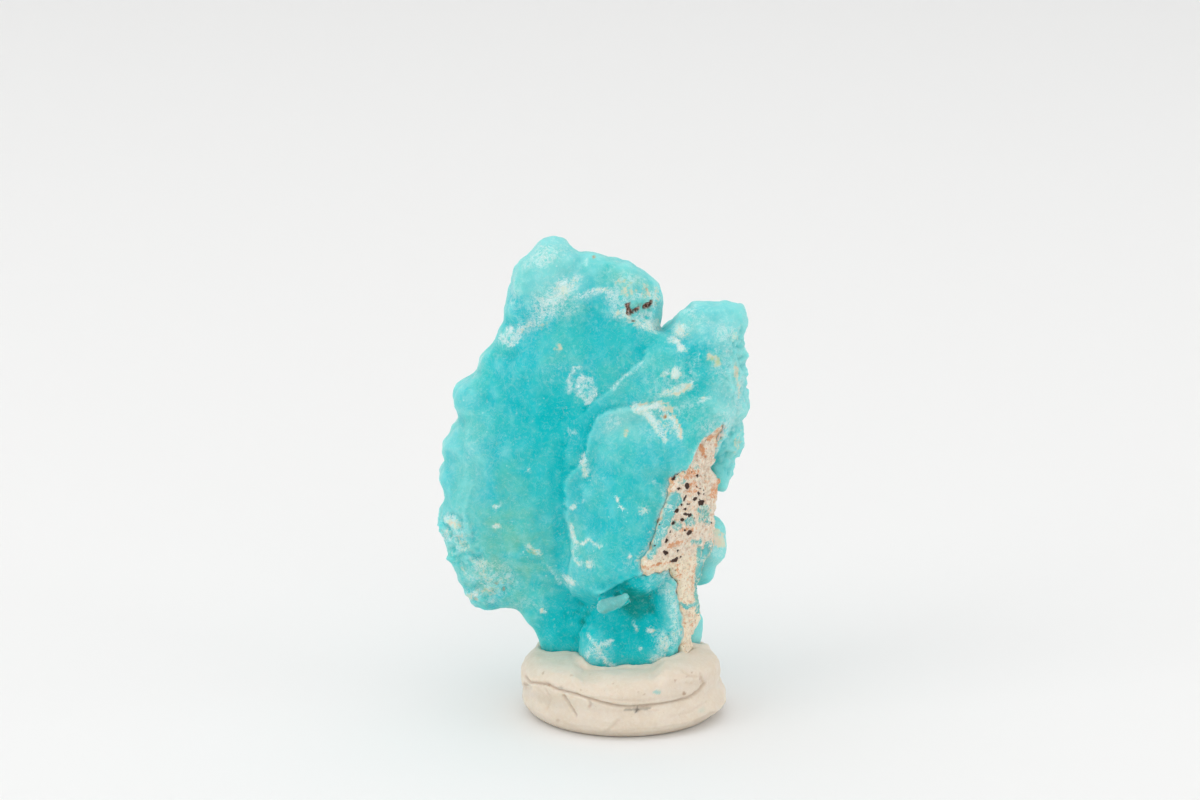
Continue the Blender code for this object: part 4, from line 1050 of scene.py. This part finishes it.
host.set(Subsurface_Weight=0.25, Subsurface_Scale=0.6 * MM, Subsurface_Radius=(1.0, 0.8, 0.6), IOR=1.5,
         Specular_IOR_Level=0.2)
chips = host.bump(host.cells(0.5), 0.12)
host.link(host.bump(host.noise(0.2, 5, 0.7), 0.08, chips), "Normal")
rock_piece = rock.piece("matrix_streak", host.material)
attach(rock_piece, "root")
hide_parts("matrix_rock")

# The putty. A snake of cream mineral putty rolled between the hands and wound twice, squashed
# flat below, pressed in by the stone and stuck to it. Its turns have almost run together, with
# a fine seam between them, finger dents, stretch lines and specks picked up from the bench.
PUTTY_FINE = 0.25 * MM
PUTTY_WORN = 22
PUTTY_HALF_WIDE, PUTTY_HALF_DEEP = 13.5, 12.6
SEAM_HEIGHT, SEAM_HALF_WIDE, SEAM_DEEP = 4.3, 0.22, 0.36
putty = Surface("putty_coil", PUTTY_FINE, PUTTY_WORN)
near = putty.gaps(stone_tree, 2.0)
hugging = eased(-near, -1.1, -0.3) * eased(putty.points[:, 2], 1.0, 3.0)
standing = eased(putty.points[:, 2], 0.05, 0.9)
under_toe = (eased(putty.points[:, 0], -7.0, -5.0) * eased(-putty.points[:, 0], -5.6, -3.4)
             * eased(-putty.points[:, 1], 4.0, 6.0) * eased(putty.points[:, 2], 4.0, 8.0))
putty.points[:, 2] -= 1.1 * under_toe
outward = np.hypot(putty.points[:, 0] / PUTTY_HALF_WIDE, putty.points[:, 1] / PUTTY_HALF_DEEP)
putty.points[:, 2] += 1.3 * eased(outward, 0.84, 1.0) * eased(-putty.points[:, 2], -2.4, 0.0)
pushed(putty, (
    (11, 8.6, 2.6, 0.35, 0, -0.9), (13, 5.4, 2, 0.3, 0, 0), (-12, 8.6, 2.2, 0.25, 0, -0.35),
    (-12.6, 2.6, 2.6, -0.45, 0, 0),
))
putty.points[:, 2] -= 0.7 * eased(-putty.points[:, 0], 2.0, 10.0) * eased(putty.points[:, 2], 4.0, 8.0)
putty.settle()
putty.raise_by(0.40 * hugging + standing * (0.10 * waves(putty.points, 4.0, 7.7, 2)
                                            + 0.06 * waves(putty.points, 1.4, 3.3, 3)))
marks = Places(putty)
PUTTY_CREASES = (
    ([(-12.9, 4.9), (-12.3, 4.3), (-9.9, 4.4), (-8.8, 3.8), (-6.2, 3.2), (-4.5, 2.6), (-2.8, 2.1),
      (-1.2, 1.7), (0.5, 1.5), (2.5, 1.6), (4.6, 1.8), (6.6, 2.1), (8.7, 2.6), (10.1, 3.5),
      (10.7, 4.2)], 0.16, 0.38),
    ([(-7.8, 2.9), (-7, 1.6), (-6.2, 0.3)], 0.15, 0.32),
    ([(7.4, 6.3), (8.6, 5.4), (10.2, 5.2), (10.6, 4.2)], 0.1, 0.12),
    ([(8, 4.6), (9.4, 4.2), (10.8, 4.8)], 0.1, 0.1), ([(-10.6, 4.3), (-9.4, 2.4), (-10, 0.8)], 0.12, 0.1),
    ([(6, 0.2), (8.4, 0.6), (10.8, 1.8)], 0.12, 0.1),
    ([(-6.6, 3.2), (-2.4, 2.6), (2.4, 2.3), (7.6, 3)], 0.09, 0.08),
    ([(-4.6, 2.4), (-4.2, 1.9), (-4.5, 1.5)], 0.14, 0.22),
    ([(-0.8, -0.3), (-1.6, -1.2), (-2.5, -2)], 0.2, 0.12),
    ([(10.1, 3.5), (10.3, 4.6), (10, 5.6)], 0.2, 0.15),
    ([(9.2, -0.8), (10.4, -0.4), (11.6, 0.2)], 0.25, 0.15),
    ([(0.2, 1.2), (2, 0.9), (4.4, 1)], 0.12, 0.08), ([(-0.4, 0.9), (1.6, 0.6), (3.2, 0.5)], 0.12, 0.06),
)
seam = sum(marks.stroke(line, wide, 0.12, 1.6) * deep for line, wide, deep in PUTTY_CREASES)
round_it = np.arctan2(putty.points[:, 1], putty.points[:, 0])
seam_height = SEAM_HEIGHT + 0.35 * np.sin(2 * round_it + 0.6) + 0.25 * waves(putty.points, 3.0, 2.6, 2)
outer = eased(outward, 0.80, 0.92) * (1 - marks.front)
off_seam = (putty.points[:, 2] - seam_height) / SEAM_HALF_WIDE
seam = np.maximum(seam, SEAM_DEEP * np.exp(-off_seam ** 2) * outer)
putty.raise_by(-seam - 0.25 * marks.patch(-12.6, 3.4, 0.5, 0.5, 0, 0.2, 1.0))
SPECKS = (
    (-9.75, 4.25, 0.28, 0.2, -30, 0.9), (-10.5, 5.7, 0.14, 0.2, 20, 0.6), (7.8, 3.1, 0.24, 0.2, 0, 0.9),
    (6.6, 5, 0.16, 0.16, 0, 0.7), (8.8, 5.9, 0.12, 0.12, 0, 0.8), (-6.8, 5.6, 0.2, 0.12, 0, 0.4),
    (-4.4, 5.7, 0.16, 0.12, 0, 0.4), (-1.4, 4.6, 0.1, 0.1, 0, 0.5), (1.8, 3.5, 0.14, 0.12, 0, 0.5),
    (-12.8, 3.9, 0.4, 0.35, 0, 0.5), (8.2, 5.4, 0.3, 0.08, 20, 0.4), (-8.6, -0.6, 0.3, 0.2, 30, 0.3),
    (2.6, 3.2, 0.1, 0.1, 0, 0.5), (9.9, 4.9, 0.12, 0.2, 0, 0.5), (-5.6, 3.7, 0.12, 0.1, 0, 0.5),
)
# Brown specks, and painted shade: brown along the seam and creases, darker where they are deeper
brown = most(*marks.patches(SPECKS, 0.25, 0.7), np.clip(seam * 1.1, 0, 0.5))
SMUDGES = (
    (1.55, 1.1, 0.35, 0.4, 0, 0.9, 0.9), ([(0.2, 1.1), (1.6, 1.1), (3.4, 1.3)], 0.12, 0.6, 1, 0.5),
    (-8.2, 4, 0.5, 0.2, 0, 0.7, 0.3),
)
smudge = marks.marked(SMUDGES)
SMEARS = (
    (4.3, 3.5, 0.5, 0.22, 0, 0.6, 0.9), (-8.6, 7.8, 2.6, 1, -15, 0.4, 1.4, 0.15),
    (10.2, 0.8, 0.4, 0.4, 0, 0.6, 1.2, 0.25),
)
smear = most(marks.marked(SMEARS), eased(-near, -1.0, -0.2) * eased(putty.points[:, 2], 5.0, 7.0) * 0.08)
putty.paint(brown=brown, smudge=smudge, smear=smear)

PUTTY_CREAM = (0.80, 0.705, 0.59)
PUTTY_WARM = (0.76, 0.655, 0.53)
PUTTY_CHALK = (0.84, 0.77, 0.67)
PUTTY_GRIT = (0.62, 0.50, 0.38)
PUTTY_DOT = (0.50, 0.38, 0.27)
PUTTY_BROWN = (0.40, 0.23, 0.13)
PUTTY_SMUDGE = (0.16, 0.14, 0.12)
PUTTY_GREEN = (0.40, 0.64, 0.58)

clay = Finish("mineral putty")
body = clay.mix(clay.dabs(3.5, 5, 0.35, 0.65, roughness=0.6), PUTTY_CREAM, PUTTY_WARM)
body = clay.coated(body, (
    (clay.dabs(0.6, 6, 0.42, 0.7, 0.0, 0.55, 0.75), PUTTY_CHALK),
    (clay.dabs(0.25, 5, 0.56, 0.7, 0.0, 0.35, 0.8), PUTTY_GRIT),
    (clay.between(clay.cells(0.9), 0.05, 0.11, 0.25, 0.0), PUTTY_DOT),
    # Brown specks, and painted shade in the seam and creases
    (clay.times(clay.painted("brown"), 0.8), PUTTY_BROWN),
    (clay.painted("smudge"), PUTTY_SMUDGE),
    (clay.painted("smear"), PUTTY_GREEN),
))
clay.link(body, "Base Color")
clay.link(clay.dabs(1.0, 4, 0.3, 0.7, 0.5, 0.68), "Roughness")
clay.set(Subsurface_Weight=0.5, Subsurface_Scale=1.2 * MM, Subsurface_Radius=(1.0, 0.75, 0.55), IOR=1.48,
         Specular_IOR_Level=0.25)
prints = clay.bump(clay.noise(0.9, 5, 0.7, 0.6), 0.10)
clay.link(clay.bump(clay.noise(0.25, 5, 0.75), 0.05, prints), "Normal")
putty_piece = putty.piece("putty_wound", clay.material)
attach(putty_piece, "root")
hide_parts("putty_coil")
